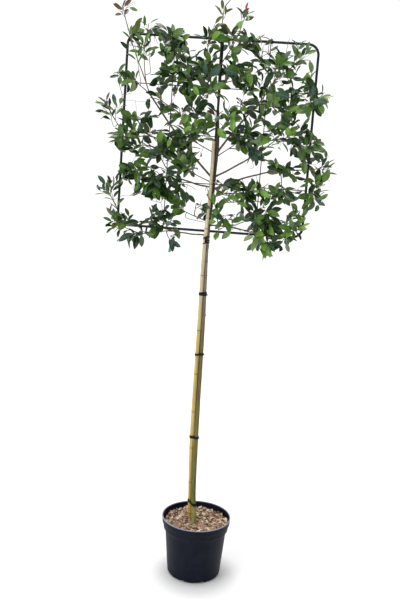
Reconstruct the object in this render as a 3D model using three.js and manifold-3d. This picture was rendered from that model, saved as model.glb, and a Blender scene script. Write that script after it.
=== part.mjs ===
// A pleached photinia: a clear stem in a nursery pot, its crown trained flat on a square steel frame.
// Millimetres, +Z up. The origin is the middle of the pot's flat underside; the crown's face looks along -Y.
import * as THREE from 'three';
import { mergeVertices } from 'three/addons/utils/BufferGeometryUtils.js';
import Module from 'manifold-3d';

const wasm = await Module();
wasm.setup();

// Driving dimensions
const GAP = 0.3; // between pieces that rest on each other

const POT_HEIGHT = 390;
const POT_RIM_RADIUS = 232;
const POT_BASE_RADIUS = 179;
const POT_SHOULDER_RADIUS = 206;
const POT_WALL = 3;
const RIM_BAND_HEIGHT = 42;
const COLLAR_HEIGHT = 40;
const NOTCH_COUNT = 8;
const SOIL_DEPTH_BELOW_RIM = 40;

const STEM_Y = -21.5; // the stem stands in front of the frame
const STEM_TOP = 3520;
const CANE_TOP = 2870;

const FRAME_SIZE = 1192; // between the centre lines of opposite tubes, of a 1.2 m frame
const FRAME_TUBE_RADIUS = 8;
const FRAME_TUBE_WALL = 1.5;
const FRAME_BEND_RADIUS = 65;
const FRAME_BASE = 2309; // height of the bottom rail's centre line
const FRAME_MIDDLE_X = -24;
const FRAME_LEAN = 1.02; // degrees, towards +X
const ROD_RADIUS = 2.5;
const SPIKE_LENGTH = 112; // of the centre tube below the bottom rail
const SPIKE_HEAD = 12; // and above the top rail's centre line

const LEAF_LENGTH = 138;
const LEAF_WIDTH_SHARE = 0.56;
const LEAF_THICKNESS = 2.4; // at its ridge
const GOLDEN_ANGLE = 2.39996;

// Finishes
const finish = (color, roughness, metalness = 0) =>
  new THREE.MeshStandardMaterial({ color, roughness, metalness });
const potPlastic = finish(0x23262e, 0.55);
const barkChips = finish(0x8b6b52, 0.95);
const greenBark = finish(0x77703f, 0.8);
const twigBark = finish(0x5d5142, 0.85);
const bamboo = finish(0xc9a85a, 0.5);
const tieRubber = finish(0x17171a, 0.8);
const blackSteel = finish(0x1c2028, 0.45, 0.6);
const leafGreen = finish(0x2f5a23, 0.4);

const part = new THREE.Group();

function addPiece(name, geometry, material) {
  const mesh = new THREE.Mesh(geometry, material);
  mesh.name = name;
  part.add(mesh);
}

// Solids: a closed mesh as a manifold for cutting and joining, and back again
function solidFrom(geometry) {
  const bare = geometry.clone();
  bare.deleteAttribute('normal');
  bare.deleteAttribute('uv');
  const merged = mergeVertices(bare, 1e-4);
  const corners = merged.index.array;
  const triangles = [];
  for (let i = 0; i < corners.length; i += 3) {
    const [a, b, c] = [corners[i], corners[i + 1], corners[i + 2]];
    if (a !== b && b !== c && c !== a) triangles.push(a, b, c);
  }
  return new wasm.Manifold(new wasm.Mesh({
    numProp: 3,
    vertProperties: new Float32Array(merged.attributes.position.array),
    triVerts: new Uint32Array(triangles),
  }));
}

function geometryFrom(solid) {
  const mesh = solid.getMesh();
  const geometry = new THREE.BufferGeometry();
  geometry.setAttribute('position', new THREE.BufferAttribute(mesh.vertProperties, 3));
  geometry.setIndex(new THREE.BufferAttribute(mesh.triVerts, 1));
  return geometry;
}

// A round limb of changing radius: a cylinder bent along a curve
function bentLimb(curve, radiusAt, sides, steps) {
  const geometry = new THREE.CylinderGeometry(1, 1, 1, sides, steps);
  const frames = curve.computeFrenetFrames(steps);
  const position = geometry.attributes.position;
  for (let i = 0; i < position.count; i += 1) {
    const step = Math.round((position.getY(i) + 0.5) * steps);
    const radius = radiusAt(step / steps);
    const point = curve.getPointAt(step / steps)
      .addScaledVector(frames.binormals[step], position.getX(i) * radius)
      .addScaledVector(frames.normals[step], position.getZ(i) * radius);
    position.setXYZ(i, point.x, point.y, point.z);
  }
  return geometry;
}

const vector = (x, y, z) => new THREE.Vector3(x, y, z);
const between = (a, b, share) => a + (b - a) * share;

// Value at x of a line through [x, value] pairs
function along(pairs, x) {
  const next = pairs.findIndex(([at]) => at >= x);
  if (next === 0) return pairs[0][1];
  if (next < 0) return pairs[pairs.length - 1][1];
  const [[x0, v0], [x1, v1]] = [pairs[next - 1], pairs[next]];
  return between(v0, v1, (x - x0) / (x1 - x0));
}

// ---------------------------------------------------------------- pot and soil
const POT_SIDES = 32;
const NOTCH = { depth: 34, width: 24, height: 9 };

const turned = (profile) =>
  new THREE.LatheGeometry(profile.map(([r, z]) => new THREE.Vector2(r, z)), POT_SIDES)
    .rotateX(Math.PI / 2);

function potGeometry() {
  const bandBottom = POT_HEIGHT - RIM_BAND_HEIGHT;
  const collarBottom = bandBottom - COLLAR_HEIGHT;
  const bandRadius = POT_RIM_RADIUS - 1;
  const collarRadius = POT_RIM_RADIUS - 12;
  const outside = [
    [0, 0], [POT_BASE_RADIUS - 8, 0], [POT_BASE_RADIUS, 9],
    [POT_SHOULDER_RADIUS, collarBottom - 4], [collarRadius, collarBottom],
    [collarRadius + 1, bandBottom], [bandRadius - 3, bandBottom],
    [bandRadius, POT_HEIGHT - 8], [POT_RIM_RADIUS, POT_HEIGHT - 6], [POT_RIM_RADIUS, POT_HEIGHT],
  ];
  const inside = [
    [POT_RIM_RADIUS - 7, POT_HEIGHT], [collarRadius - POT_WALL, bandBottom - 6],
    [POT_SHOULDER_RADIUS - POT_WALL, collarBottom - 8], [POT_BASE_RADIUS - POT_WALL, 12],
    [POT_BASE_RADIUS - 12, POT_WALL], [0, POT_WALL],
  ];
  let pot = solidFrom(turned([...outside, ...inside]));
  for (let i = 0; i < NOTCH_COUNT; i += 1) {
    const notch = new THREE.BoxGeometry(NOTCH.depth, NOTCH.width, 2 * NOTCH.height);
    notch.translate(POT_BASE_RADIUS, 0, 0).rotateZ(((i + 0.5) / NOTCH_COUNT) * 2 * Math.PI);
    pot = pot.subtract(solidFrom(notch));
  }
  return geometryFrom(pot);
}

const SOIL_TOP = POT_HEIGHT - SOIL_DEPTH_BELOW_RIM;

function soilGeometry() {
  const wallGap = 0.5;
  const bandBottom = POT_HEIGHT - RIM_BAND_HEIGHT;
  const collarBottom = bandBottom - COLLAR_HEIGHT;
  const neck = POT_RIM_RADIUS - 12 - POT_WALL;
  return turned([
    [0, NOTCH.height + 1], [POT_BASE_RADIUS - POT_WALL - wallGap - 3, NOTCH.height + 1],
    [POT_BASE_RADIUS - POT_WALL - wallGap, 20],
    [POT_SHOULDER_RADIUS - POT_WALL - wallGap, collarBottom - 8],
    [neck - wallGap, bandBottom - 6], [120, SOIL_TOP], [0, SOIL_TOP],
  ]);
}

addPiece('pot', potGeometry(), potPlastic);
addPiece('soil', soilGeometry(), barkChips);

// ---------------------------------------------------------------- limbs
const SOIL_SEAT = SOIL_TOP + GAP;
const SUNK = 20; // drawn this far into the soil, then cut off flat at its surface

// Centre line of the stem, from the soil up the front of the frame
const stemCurve = new THREE.CatmullRomCurve3([
  vector(-11, -44, SOIL_SEAT - SUNK), vector(-13, -42, 380), vector(-27, -25, 560),
  vector(-31, STEM_Y, 900), vector(-31.5, STEM_Y, 1100), vector(-28.5, STEM_Y, 1730),
  vector(-30.5, STEM_Y, 2180), vector(-28, STEM_Y, 2340), vector(-14.5, STEM_Y, 2520),
  vector(-8, STEM_Y, 2680), vector(0, STEM_Y, 2860), vector(-9, STEM_Y, 3080),
  vector(-13, STEM_Y, 3250), vector(-14, STEM_Y, STEM_TOP),
]);
const STEM_TAPER = [ // height, radius
  [SOIL_SEAT - SUNK, 19], [SOIL_SEAT, 18], [375, 15.8], [600, 15.6], [1000, 15.5], [1730, 14.6], [2000, 12.9],
  [2190, 11.2], [2300, 11.5], [2860, 11.5], [2960, 8.5], [3200, 6], [STEM_TOP, 3.4],
];
// The cane enters the soil behind the stem, runs up beside it and ends in front of it
const caneCurve = new THREE.CatmullRomCurve3([
  vector(-45.5, 25, SOIL_SEAT - SUNK), vector(-49, 14, 470), vector(-59.6, -19, 900),
  vector(-59, -30, 1100), vector(-52, -37, 1730), vector(-47, -40, 2180), vector(-39, -42.5, 2340),
  vector(-28.7, -41.5, 2520), vector(-25.2, -39, 2680), vector(-24, -32, CANE_TOP),
]);
const CANE_RADII = [13.2, 10.5];

const limbs = []; // every round piece that leaves and twigs keep clear of

// Notes a limb's centre line as short straight lengths
function keepClearOf(name, curve, radiusAt, lengths) {
  for (let i = 0; i < lengths; i += 1) {
    const [from, to] = [i / lengths, (i + 1) / lengths];
    limbs.push({
      name, a: curve.getPointAt(from), b: curve.getPointAt(to), radius: radiusAt((from + to) / 2),
    });
  }
}

const stemRadiusAt = (share) => along(STEM_TAPER, stemCurve.getPointAt(share).z);
const caneRadiusAt = (share) => between(...CANE_RADII, share);
const STEM_SIDES = 9;
const STEM_STEPS = 27;

const ground = solidFrom(new THREE.BoxGeometry(300, 300, 100).translate(0, 0, SOIL_SEAT - 50));
const cutAtGround = (geometry) => geometryFrom(solidFrom(geometry).subtract(ground));

addPiece('stem', cutAtGround(bentLimb(stemCurve, stemRadiusAt, STEM_SIDES, STEM_STEPS)), greenBark);
addPiece('cane', cutAtGround(bentLimb(caneCurve, caneRadiusAt, 8, 20)), bamboo);
keepClearOf('stem', stemCurve, stemRadiusAt, 36);
keepClearOf('cane', caneCurve, caneRadiusAt, 24);

// What a limb that grows from another is cut back by: its carrier, a gap larger
const swollen = (curve, radiusAt, sides, steps) => solidFrom(
  bentLimb(curve, (share) => (radiusAt(share) + GAP) / Math.cos(Math.PI / sides), sides, steps));
const carriers = {
  stem: { curve: stemCurve, clearance: swollen(stemCurve, stemRadiusAt, STEM_SIDES, STEM_STEPS) },
};

// ---------------------------------------------------------------- training frame
const TUBE_SIDES = 12;
const BEND_STEPS = 5;
const CENTRE_TUBE_Y = STEM_Y + 11.9 + GAP + FRAME_TUBE_RADIUS;
const RAIL_DEPTH = 2 * FRAME_TUBE_RADIUS + GAP; // the rails lie this far behind the centre tube
const CROSS_ROD_DEPTH = FRAME_TUBE_RADIUS + GAP + ROD_RADIUS;
const UPRIGHT_ROD_DEPTH = CROSS_ROD_DEPTH + 2 * ROD_RADIUS + GAP;

const frame = new THREE.Group();
frame.position.set(FRAME_MIDDLE_X, CENTRE_TUBE_Y, FRAME_BASE);
frame.rotation.y = THREE.MathUtils.degToRad(FRAME_LEAN);
frame.updateMatrixWorld();
part.add(frame);

function addFramePiece(name, geometry, centreLine, radius) {
  const mesh = new THREE.Mesh(geometry, blackSteel);
  mesh.name = name;
  frame.add(mesh);
  const points = centreLine.map((point) => point.clone().applyMatrix4(frame.matrix));
  points.slice(1).forEach((b, i) => limbs.push({ name, a: points[i], b, radius }));
}

// Turns a shape that stands along +Z from the origin so that it runs between two points
function laidBetween(geometry, from, to) {
  const turn = new THREE.Quaternion().setFromUnitVectors(
    vector(0, 0, 1), to.clone().sub(from).normalize());
  return geometry.applyQuaternion(turn).translate(from.x, from.y, from.z);
}

function addTube(name, from, to) {
  const ring = new THREE.Shape().absarc(0, 0, FRAME_TUBE_RADIUS, 0, 2 * Math.PI);
  const bore = FRAME_TUBE_RADIUS - FRAME_TUBE_WALL;
  ring.holes.push(new THREE.Path().absarc(0, 0, bore, 0, 2 * Math.PI));
  const geometry = new THREE.ExtrudeGeometry(ring, {
    depth: from.distanceTo(to), steps: 1, bevelEnabled: false, curveSegments: TUBE_SIDES / 2,
  });
  addFramePiece(name, laidBetween(geometry, from, to), [from, to], FRAME_TUBE_RADIUS);
}

function addRod(name, from, to) {
  const length = from.distanceTo(to);
  const geometry = new THREE.CylinderGeometry(ROD_RADIUS, ROD_RADIUS, length, 6);
  geometry.rotateX(Math.PI / 2).translate(0, 0, length / 2);
  addFramePiece(name, laidBetween(geometry, from, to), [from, to], ROD_RADIUS);
}

class QuarterBend extends THREE.Curve {
  constructor(centre, startAngle) {
    super();
    this.centre = centre;
    this.startAngle = startAngle;
  }

  getPoint(share, target = new THREE.Vector3()) {
    const trim = (GAP / 2) / FRAME_BEND_RADIUS;
    const angle = this.startAngle + between(trim, Math.PI / 2 - trim, share);
    return target.set(
      this.centre.x + FRAME_BEND_RADIUS * Math.cos(angle), this.centre.y,
      this.centre.z + FRAME_BEND_RADIUS * Math.sin(angle));
  }
}

const half = FRAME_SIZE / 2;
const straight = half - FRAME_BEND_RADIUS - GAP / 2; // half the length of a straight side
const inner = FRAME_BEND_RADIUS + GAP / 2;
for (const [side, word] of [[-1, 'left'], [1, 'right']]) {
  addTube(`frame_${word}_post`, vector(side * half, RAIL_DEPTH, inner),
    vector(side * half, RAIL_DEPTH, FRAME_SIZE - inner));
  for (const [height, end] of [[FRAME_BEND_RADIUS, 'bottom'], [FRAME_SIZE - FRAME_BEND_RADIUS, 'top']]) {
    const centre = vector(side * (half - FRAME_BEND_RADIUS), RAIL_DEPTH, height);
    const quarter = { left_bottom: 2, right_bottom: 3, right_top: 0, left_top: 1 }[`${word}_${end}`];
    const curve = new QuarterBend(centre, quarter * (Math.PI / 2));
    addFramePiece(`frame_${end}_${word}_bend`, bentLimb(curve, () => FRAME_TUBE_RADIUS, 10, BEND_STEPS),
      curve.getPoints(BEND_STEPS), FRAME_TUBE_RADIUS);
  }
}
addTube('frame_bottom_rail', vector(-straight, RAIL_DEPTH, 0), vector(straight, RAIL_DEPTH, 0));
addTube('frame_top_rail', vector(-straight, RAIL_DEPTH, FRAME_SIZE),
  vector(straight, RAIL_DEPTH, FRAME_SIZE));
addTube('frame_centre_tube', vector(0, 0, -SPIKE_LENGTH), vector(0, 0, FRAME_SIZE + SPIKE_HEAD));

// Three cross rods and two upright rods divide the square into sixteen cells
const postFace = Math.sqrt(FRAME_TUBE_RADIUS ** 2 - (RAIL_DEPTH - CROSS_ROD_DEPTH - ROD_RADIUS) ** 2);
for (const [i, word] of ['low', 'middle', 'high'].entries()) {
  const height = ((i + 1) / 4) * FRAME_SIZE;
  const reach = half - postFace - GAP;
  addRod(`frame_${word}_rod`, vector(-reach, CROSS_ROD_DEPTH, height),
    vector(reach, CROSS_ROD_DEPTH, height));
}
for (const [side, word] of [[-1, 'left'], [1, 'right']]) {
  const end = FRAME_TUBE_RADIUS + GAP;
  const x = (side * half) / 2;
  addRod(`frame_${word}_upright`, vector(x, UPRIGHT_ROD_DEPTH, end),
    vector(x, UPRIGHT_ROD_DEPTH, FRAME_SIZE - end));
}

// ---------------------------------------------------------------- ties
const TIE_CLEARANCE = 0.8;
const TIE_THICKNESS = 2.4;
const TIE_HEIGHT = 11;

// The outline of a band drawn tight round circles [x, y, radius]
function bandOutline(circles, offset) {
  const sides = 16;
  const points = circles.flatMap(([x, y, radius]) => {
    const reach = (radius + offset) / Math.cos(Math.PI / sides);
    return new THREE.EllipseCurve(x, y, reach, reach).getPoints(sides).slice(0, -1);
  });
  const start = points.reduce((low, p) => (p.y < low.y ? p : low));
  const hull = [start];
  for (;;) {
    const from = hull[hull.length - 1];
    const next = points.reduce((best, p) => {
      if (p === from) return best;
      const turn = (best.x - from.x) * (p.y - from.y) - (best.y - from.y) * (p.x - from.x);
      return best === from || turn < 0 ? p : best;
    }, from);
    if (next === start) return hull;
    hull.push(next);
  }
}

function pointAtHeight(curve, height) {
  let [low, high] = [0, 1];
  for (let i = 0; i < 30; i += 1) {
    const middle = (low + high) / 2;
    if (curve.getPointAt(middle).z < height) low = middle;
    else high = middle;
  }
  return curve.getPointAt(low);
}

// Round the stem and the cane, and the frame's centre tube too where it is named
function addTie(name, height, bandHeight, withFrame) {
  const edges = [height - bandHeight / 2, height + bandHeight / 2];
  const circles = edges.flatMap((edge) => {
    const stemAt = pointAtHeight(stemCurve, edge);
    const caneAt = pointAtHeight(caneCurve, edge);
    const round = [
      [stemAt.x, stemAt.y, along(STEM_TAPER, edge)],
      [caneAt.x, caneAt.y, caneRadiusAt((edge - SOIL_SEAT) / (CANE_TOP - SOIL_SEAT))],
    ];
    const tubeX = FRAME_MIDDLE_X - (FRAME_BASE - edge) * Math.tan(frame.rotation.y);
    return withFrame ? [...round, [tubeX, CENTRE_TUBE_Y, FRAME_TUBE_RADIUS]] : round;
  });
  const band = new THREE.Shape(bandOutline(circles, TIE_CLEARANCE + TIE_THICKNESS));
  band.holes.push(new THREE.Path(bandOutline(circles, TIE_CLEARANCE)));
  const geometry = new THREE.ExtrudeGeometry(band, { depth: bandHeight, steps: 1, bevelEnabled: false });
  addPiece(name, geometry.translate(0, 0, height - bandHeight / 2), tieRubber);
}

for (const [i, height] of [486, 945, 1507, 1905].entries()) addTie(`tie_${i + 1}`, height, TIE_HEIGHT, false);
addTie('frame_tie', 2252, 46, true);

// ---------------------------------------------------------------- boughs
const BOUGH_SIDES = 7;
const BOUGH_STEPS = 9;
const BEHIND_CANE = 2.5; // how far behind the stem's middle a bough on the cane's side starts

// Each leaves its carrier at a height and runs to its tip; bow is how far its middle hangs below a straight
// line between them
const BOUGHS = [
  { name: 'left_main_bough', from: ['stem', 2632], tip: [-440, -12, 3140], bow: 22, radii: [7, 5] },
  {
    name: 'left_side_bough', from: ['left_main_bough', 2868], tip: [-420, -20, 2884], bow: 14,
    radii: [4.6, 4.2],
  },
  { name: 'left_low_bough', from: ['stem', 2585], tip: [-268, -14, 2648], bow: 10, radii: [5.6, 4.3] },
  { name: 'left_rail_bough', from: ['stem', 2284], tip: [-262, -22, 2298], bow: 5, radii: [4.8, 4.2] },
  { name: 'left_upper_bough', from: ['stem', 3050], tip: [-168, -14, 3200], bow: 18, radii: [5, 4.2] },
  { name: 'right_upper_bough', from: ['stem', 2800], tip: [232, -12, 3104], bow: -12, radii: [7, 4.6] },
  { name: 'right_middle_bough', from: ['stem', 2652], tip: [300, -12, 2848], bow: 10, radii: [6, 4.4] },
  { name: 'right_low_bough', from: ['stem', 2572], tip: [385, -12, 2712], bow: -14, radii: [6.2, 4.3] },
  { name: 'right_rail_bough', from: ['stem', 2346], tip: [205, -24, 2326], bow: -8, radii: [5, 4.2] },
];

function addBough({ name, from, tip, bow, radii }) {
  const [carrier, height] = from;
  const start = pointAtHeight(carriers[carrier].curve, height);
  const end = vector(...tip);
  if (carrier === 'stem' && end.x < start.x) start.y += BEHIND_CANE;
  const middle = start.clone().lerp(end, 0.5).add(vector(0, 0, -2 * bow));
  const curve = new THREE.QuadraticBezierCurve3(start, middle, end);
  const radiusAt = (share) => between(...radii, share);
  const whole = solidFrom(bentLimb(curve, radiusAt, BOUGH_SIDES, BOUGH_STEPS));
  addPiece(name, geometryFrom(whole.subtract(carriers[carrier].clearance)), twigBark);
  carriers[name] = { curve, clearance: swollen(curve, radiusAt, BOUGH_SIDES, BOUGH_STEPS) };
  keepClearOf(name, curve, radiusAt, BOUGH_STEPS);
}

BOUGHS.forEach(addBough);

// ---------------------------------------------------------------- foliage
const CROWN_Y = -8; // the middle of the crown's depth

// Each mass grows from the stem at a height, or from the tip of a limb, where those that share a tip sit at
// places round it, in degrees from its top. Its lobes are [x, z, half width, half height], and the stem of
// each lobe after the first forks from that of the lobe whose number follows, at a share of its length.
const MASSES = [
  { name: 'leader_shoot', tip: ['stem'], lobes: [[-12, 3652, 60, 106]] },
  { name: 'top_right_shoot', stem: 3330, lobes: [[80, 3500, 90, 70], [128, 3650, 64, 74, 0, 0.9]] },
  {
    name: 'heart_right_foliage', stem: 3175,
    lobes: [[48, 3300, 72, 86], [150, 3275, 68, 64, 0, 0.35]],
  },
  {
    name: 'heart_left_foliage', stem: 3120,
    lobes: [[-95, 3300, 90, 100], [-60, 3170, 84, 72, 0, 0.25], [-95, 3490, 88, 80, 0, 0.8]],
  },
  {
    name: 'left_heart_foliage', tip: ['left_upper_bough', 180],
    lobes: [[-235, 3270, 86, 100], [-350, 3280, 64, 66, 0, 0.3]],
  },
  {
    name: 'left_top_shoot', tip: ['left_upper_bough', 0],
    lobes: [[-320, 3480, 90, 90], [-215, 3415, 62, 54, 0, 0.6]],
  },
  {
    name: 'left_corner_shoot', tip: ['left_main_bough', 0],
    lobes: [[-495, 3430, 80, 68], [-470, 3560, 74, 56, 0, 0.9], [-585, 3500, 54, 62, 0, 0.2],
      [-635, 3665, 84, 56, 2, 0.9]],
  },
  {
    name: 'left_outer_shoot', tip: ['left_main_bough', 180],
    lobes: [[-545, 3230, 62, 54], [-650, 3262, 60, 56, 0, 0.7]],
  },
  {
    name: 'left_side_foliage', tip: ['left_side_bough', 180],
    lobes: [[-597, 2873, 104, 72], [-702, 3055, 80, 92, 0, 0.7], [-545, 3000, 80, 50, 0, 0.4]],
  },
  {
    name: 'left_inner_foliage', tip: ['left_side_bough', 0],
    lobes: [[-460, 2900, 74, 54], [-470, 3000, 62, 64, 0, 0.6]],
  },
  {
    name: 'left_middle_foliage', stem: 2790,
    lobes: [[-185, 2900, 120, 90], [-250, 3050, 94, 56, 0, 0.85], [-385, 3125, 56, 72, 1, 0.8],
      [-135, 3045, 80, 62, 0, 0.7]],
  },
  { name: 'left_arm_foliage', tip: ['left_low_bough', 0], lobes: [[-375, 2800, 135, 64]] },
  {
    name: 'left_hanging_foliage', tip: ['left_low_bough', 180],
    lobes: [[-375, 2620, 120, 125], [-560, 2665, 76, 52, 0, 0.7]],
  },
  { name: 'left_under_foliage', stem: 2608, lobes: [[-195, 2705, 90, 86]] },
  {
    name: 'left_low_foliage', stem: 2365,
    lobes: [[-235, 2460, 88, 60], [-115, 2470, 72, 56, 0, 0.4]],
  },
  {
    name: 'left_foot_foliage', tip: ['left_rail_bough', 180],
    lobes: [[-500, 2275, 88, 76], [-610, 2330, 95, 80, 0, 0.8], [-630, 2440, 64, 62, 1, 0.6],
      [-692, 2550, 82, 86, 2, 0.8], [-262, 2232, 46, 52, 0, 0.12]],
  },
  {
    name: 'left_rail_foliage', tip: ['left_rail_bough', 0],
    lobes: [[-400, 2345, 86, 86], [-290, 2350, 70, 66, 0, 0.25]],
  },
  {
    name: 'right_foot_foliage', stem: 2400,
    lobes: [[60, 2410, 84, 86], [40, 2300, 46, 50, 0, 0.4]],
  },
  {
    name: 'right_low_foliage', stem: 2520,
    lobes: [[75, 2560, 92, 74], [205, 2565, 86, 72, 0, 0.7]],
  },
  {
    name: 'right_rail_foliage', tip: ['right_rail_bough', 0],
    lobes: [[310, 2415, 112, 104], [310, 2260, 96, 92, 0, 0.25]],
  },
  {
    name: 'right_corner_foliage', tip: ['right_rail_bough', 180],
    lobes: [[510, 2380, 90, 92], [470, 2270, 56, 52, 0, 0.8]],
  },
  {
    name: 'right_outer_foliage', tip: ['right_low_bough', 180],
    lobes: [[431, 2560, 86, 74], [626, 2581, 94, 98, 0, 0.6]],
  },
  {
    name: 'right_arm_foliage', tip: ['right_low_bough', 0],
    lobes: [[440, 2715, 104, 62], [684, 2756, 84, 82, 0, 0.8]],
  },
  {
    name: 'right_side_foliage', tip: ['right_middle_bough'],
    lobes: [[380, 2920, 105, 74], [585, 2870, 98, 82, 0, 0.7], [570, 2770, 72, 58, 1, 0.5]],
  },
  {
    name: 'right_inner_foliage', stem: 2920,
    lobes: [[66, 2990, 66, 64], [140, 3095, 78, 56, 0, 0.7]],
  },
  {
    name: 'right_heart_foliage', stem: 2775,
    lobes: [[165, 2915, 118, 92], [225, 2824, 76, 60, 0, 0.4]],
  },
  {
    name: 'right_upper_foliage', tip: ['right_upper_bough', 180],
    lobes: [[305, 3120, 100, 80], [440, 3090, 88, 90, 0, 0.8], [590, 3150, 100, 98, 1, 0.7]],
  },
  {
    name: 'right_top_foliage', tip: ['right_upper_bough', 0],
    lobes: [[365, 3340, 88, 98], [225, 3420, 64, 92, 0, 0.5], [480, 3395, 76, 88, 0, 0.6]],
  },
];

const SEAT_OFFSET = 2.5; // from the middle of a shared tip to each twig on it
const TWIG_SIDES = 3;
const LOBE_STEM = { radii: [2.1, 2.1], steps: 3, leafyShare: 0.8 };
const SHOOT = { radii: [1, 1.4], steps: 1, leafyShare: 0.7 };
const AREA_PER_SHOOT = 4200; // half width times half height of a lobe
const SHOOT_REACH = 0.55; // of the way to a lobe's surface, or the surface less the leaf overhang
const LEAF_OVERHANG = 0.45 * LEAF_LENGTH;
const LEAF_SPACING = 19;
const LEAF_TRIES = 16;
const LEAF_SHRINK = 0.02; // of a leaf's length at each further try
const LEAF_LEAN = 1.2; // how far its face may turn away from the front or back of the crown
const LEAF_DROOP = 0.2;
const LEAFY_SHARES = [0.15, 0.97]; // of a twig, where its lowest and highest leaves may sit
const TIP_SPREAD = 0.3; // radians between a twig and the leaf at its tip
const SIDE_SPREAD = 0.8; // and those along it
const WIDEST = 0.48; // share of a leaf's length where it is widest
const RIDGE = 0.25; // and where it is thickest
const ROOT_SINK = 0.6; // of a leaf's root past the middle of its twig
const SPACE_LIMIT = 2.2; // how far a mass may reach, where 1 is the surface of its lobes
const CROWN_LIMIT = 1.18; // and how far the crown may
const TWIG_CLEARANCE = 1.5;
const LEAF_CLEARANCE = 2;
const UP = vector(0, 0, 1);
const OBLIQUE = vector(0.3, 0.2, 0.93); // no twig runs along it

// Repeatable random numbers from 0 to 1
function seeded(seed) {
  let state = seed * 7919 + 12345;
  return () => {
    state = (state * 48271) % 2147483647;
    return state / 2147483647;
  };
}

const lobeDepth = (width, height) => 50 + 0.6 * Math.min(width, height);

// How far out a point lies in the nearest lobe of a mass: 1 at its surface
const outness = (point, mass) => Math.min(...mass.lobes.map(([x, z, width, height]) => Math.hypot(
  (point.x - x) / width, (point.y - CROWN_Y) / lobeDepth(width, height), (point.z - z) / height)));

// A point is in the space of a mass near its lobes, and inside the crown's outline
const inSpace = (point, mass) => outness(point, mass) < SPACE_LIMIT
  && MASSES.some((any) => outness(point, any) < CROWN_LIMIT);

// Shortest distance between two straight lengths
function lengthsApart(a, b, c, d) {
  const [u, v, w] = [b.clone().sub(a), d.clone().sub(c), a.clone().sub(c)];
  const [uu, uv, vv, uw, vw] = [u.dot(u), u.dot(v), v.dot(v), u.dot(w), v.dot(w)];
  const clamp = (x) => Math.min(1, Math.max(0, x));
  const cross = uu * vv - uv * uv;
  const nearest = clamp((uv * (cross > 1e-9 ? clamp((uv * vw - vv * uw) / cross) : 0) + vw) / vv);
  const s = clamp((uv * nearest - uw) / uu);
  return w.addScaledVector(u, s).addScaledVector(v, -nearest).length();
}

const twigKeepsClear = (a, b, radius, own) => limbs.every((limb) => limb.name === own
  || lengthsApart(a, b, limb.a, limb.b) > limb.radius + radius + TWIG_CLEARANCE);

// The corners of a leaf: its root, sunk in the twig, then round its rim, and the ridge on its face
function leafCorners({ root, out, face, length }) {
  const side = out.clone().cross(face);
  const half = (LEAF_WIDTH_SHARE / 2) * length;
  const at = (share, sideways, rise = 0) => root.clone().addScaledVector(out, share * length)
    .addScaledVector(side, sideways).addScaledVector(face, rise);
  return [
    root.clone().addScaledVector(out, -ROOT_SINK), at(WIDEST, half), at(1, 0), at(WIDEST, -half),
    at(RIDGE, 0, LEAF_THICKNESS),
  ];
}

// The two halves of a leaf's flat back, either side of its midrib
const leafBack = ([root, left, tip, right]) => [
  new THREE.Triangle(root, left, tip), new THREE.Triangle(root, tip, right)];

function pierces(a, b, triangle) {
  const direction = b.clone().sub(a);
  const ray = new THREE.Ray(a, direction.clone().normalize());
  const hit = ray.intersectTriangle(triangle.a, triangle.b, triangle.c, false, vector(0, 0, 0));
  return hit !== null && hit.distanceTo(a) < direction.length();
}

const edgesOf = ({ a, b, c }) => [[a, b], [b, c], [c, a]];

// Shortest distance from a straight length to a triangle
function lengthToTriangle(a, b, triangle) {
  if (pierces(a, b, triangle)) return 0;
  const ends = [a, b].map((end) => triangle.closestPointToPoint(end, vector(0, 0, 0)).distanceTo(end));
  return Math.min(...ends, ...edgesOf(triangle).map(([c, d]) => lengthsApart(a, b, c, d)));
}

const trianglesApart = (one, other) => Math.min(
  ...edgesOf(one).map(([a, b]) => lengthToTriangle(a, b, other)),
  ...edgesOf(other).map(([a, b]) => lengthToTriangle(a, b, one)));

const middleOf = ({ root, out, length }) => root.clone().addScaledVector(out, 0.5 * length);

const crownLeaves = []; // every leaf so far, with the mass that it belongs to

function leafFits(leaf, mass, twig) {
  const corners = leafCorners(leaf);
  if (!corners.slice(1).every((point) => inSpace(point, mass))) return false;
  const back = leafBack(corners);
  const middle = middleOf(leaf);
  return limbs.every(({ name, a, b, radius }) => {
    const own = name === mass.name;
    if (own && twig.lengths.some(([from]) => from === a)) return true;
    if (a.distanceTo(middle) > a.distanceTo(b) + leaf.length) return true;
    const margin = radius + (own ? 0 : LEAF_CLEARANCE);
    return back.every((triangle) => lengthToTriangle(a, b, triangle) > margin);
  }) && crownLeaves.every((other) => {
    if (other.middle.distanceTo(middle) > leaf.length) return true;
    const margin = other.mass === mass ? 0 : LEAF_THICKNESS + GAP;
    return other.back.every((theirs) => back.every((ours) => trianglesApart(ours, theirs) > margin));
  });
}

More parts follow.
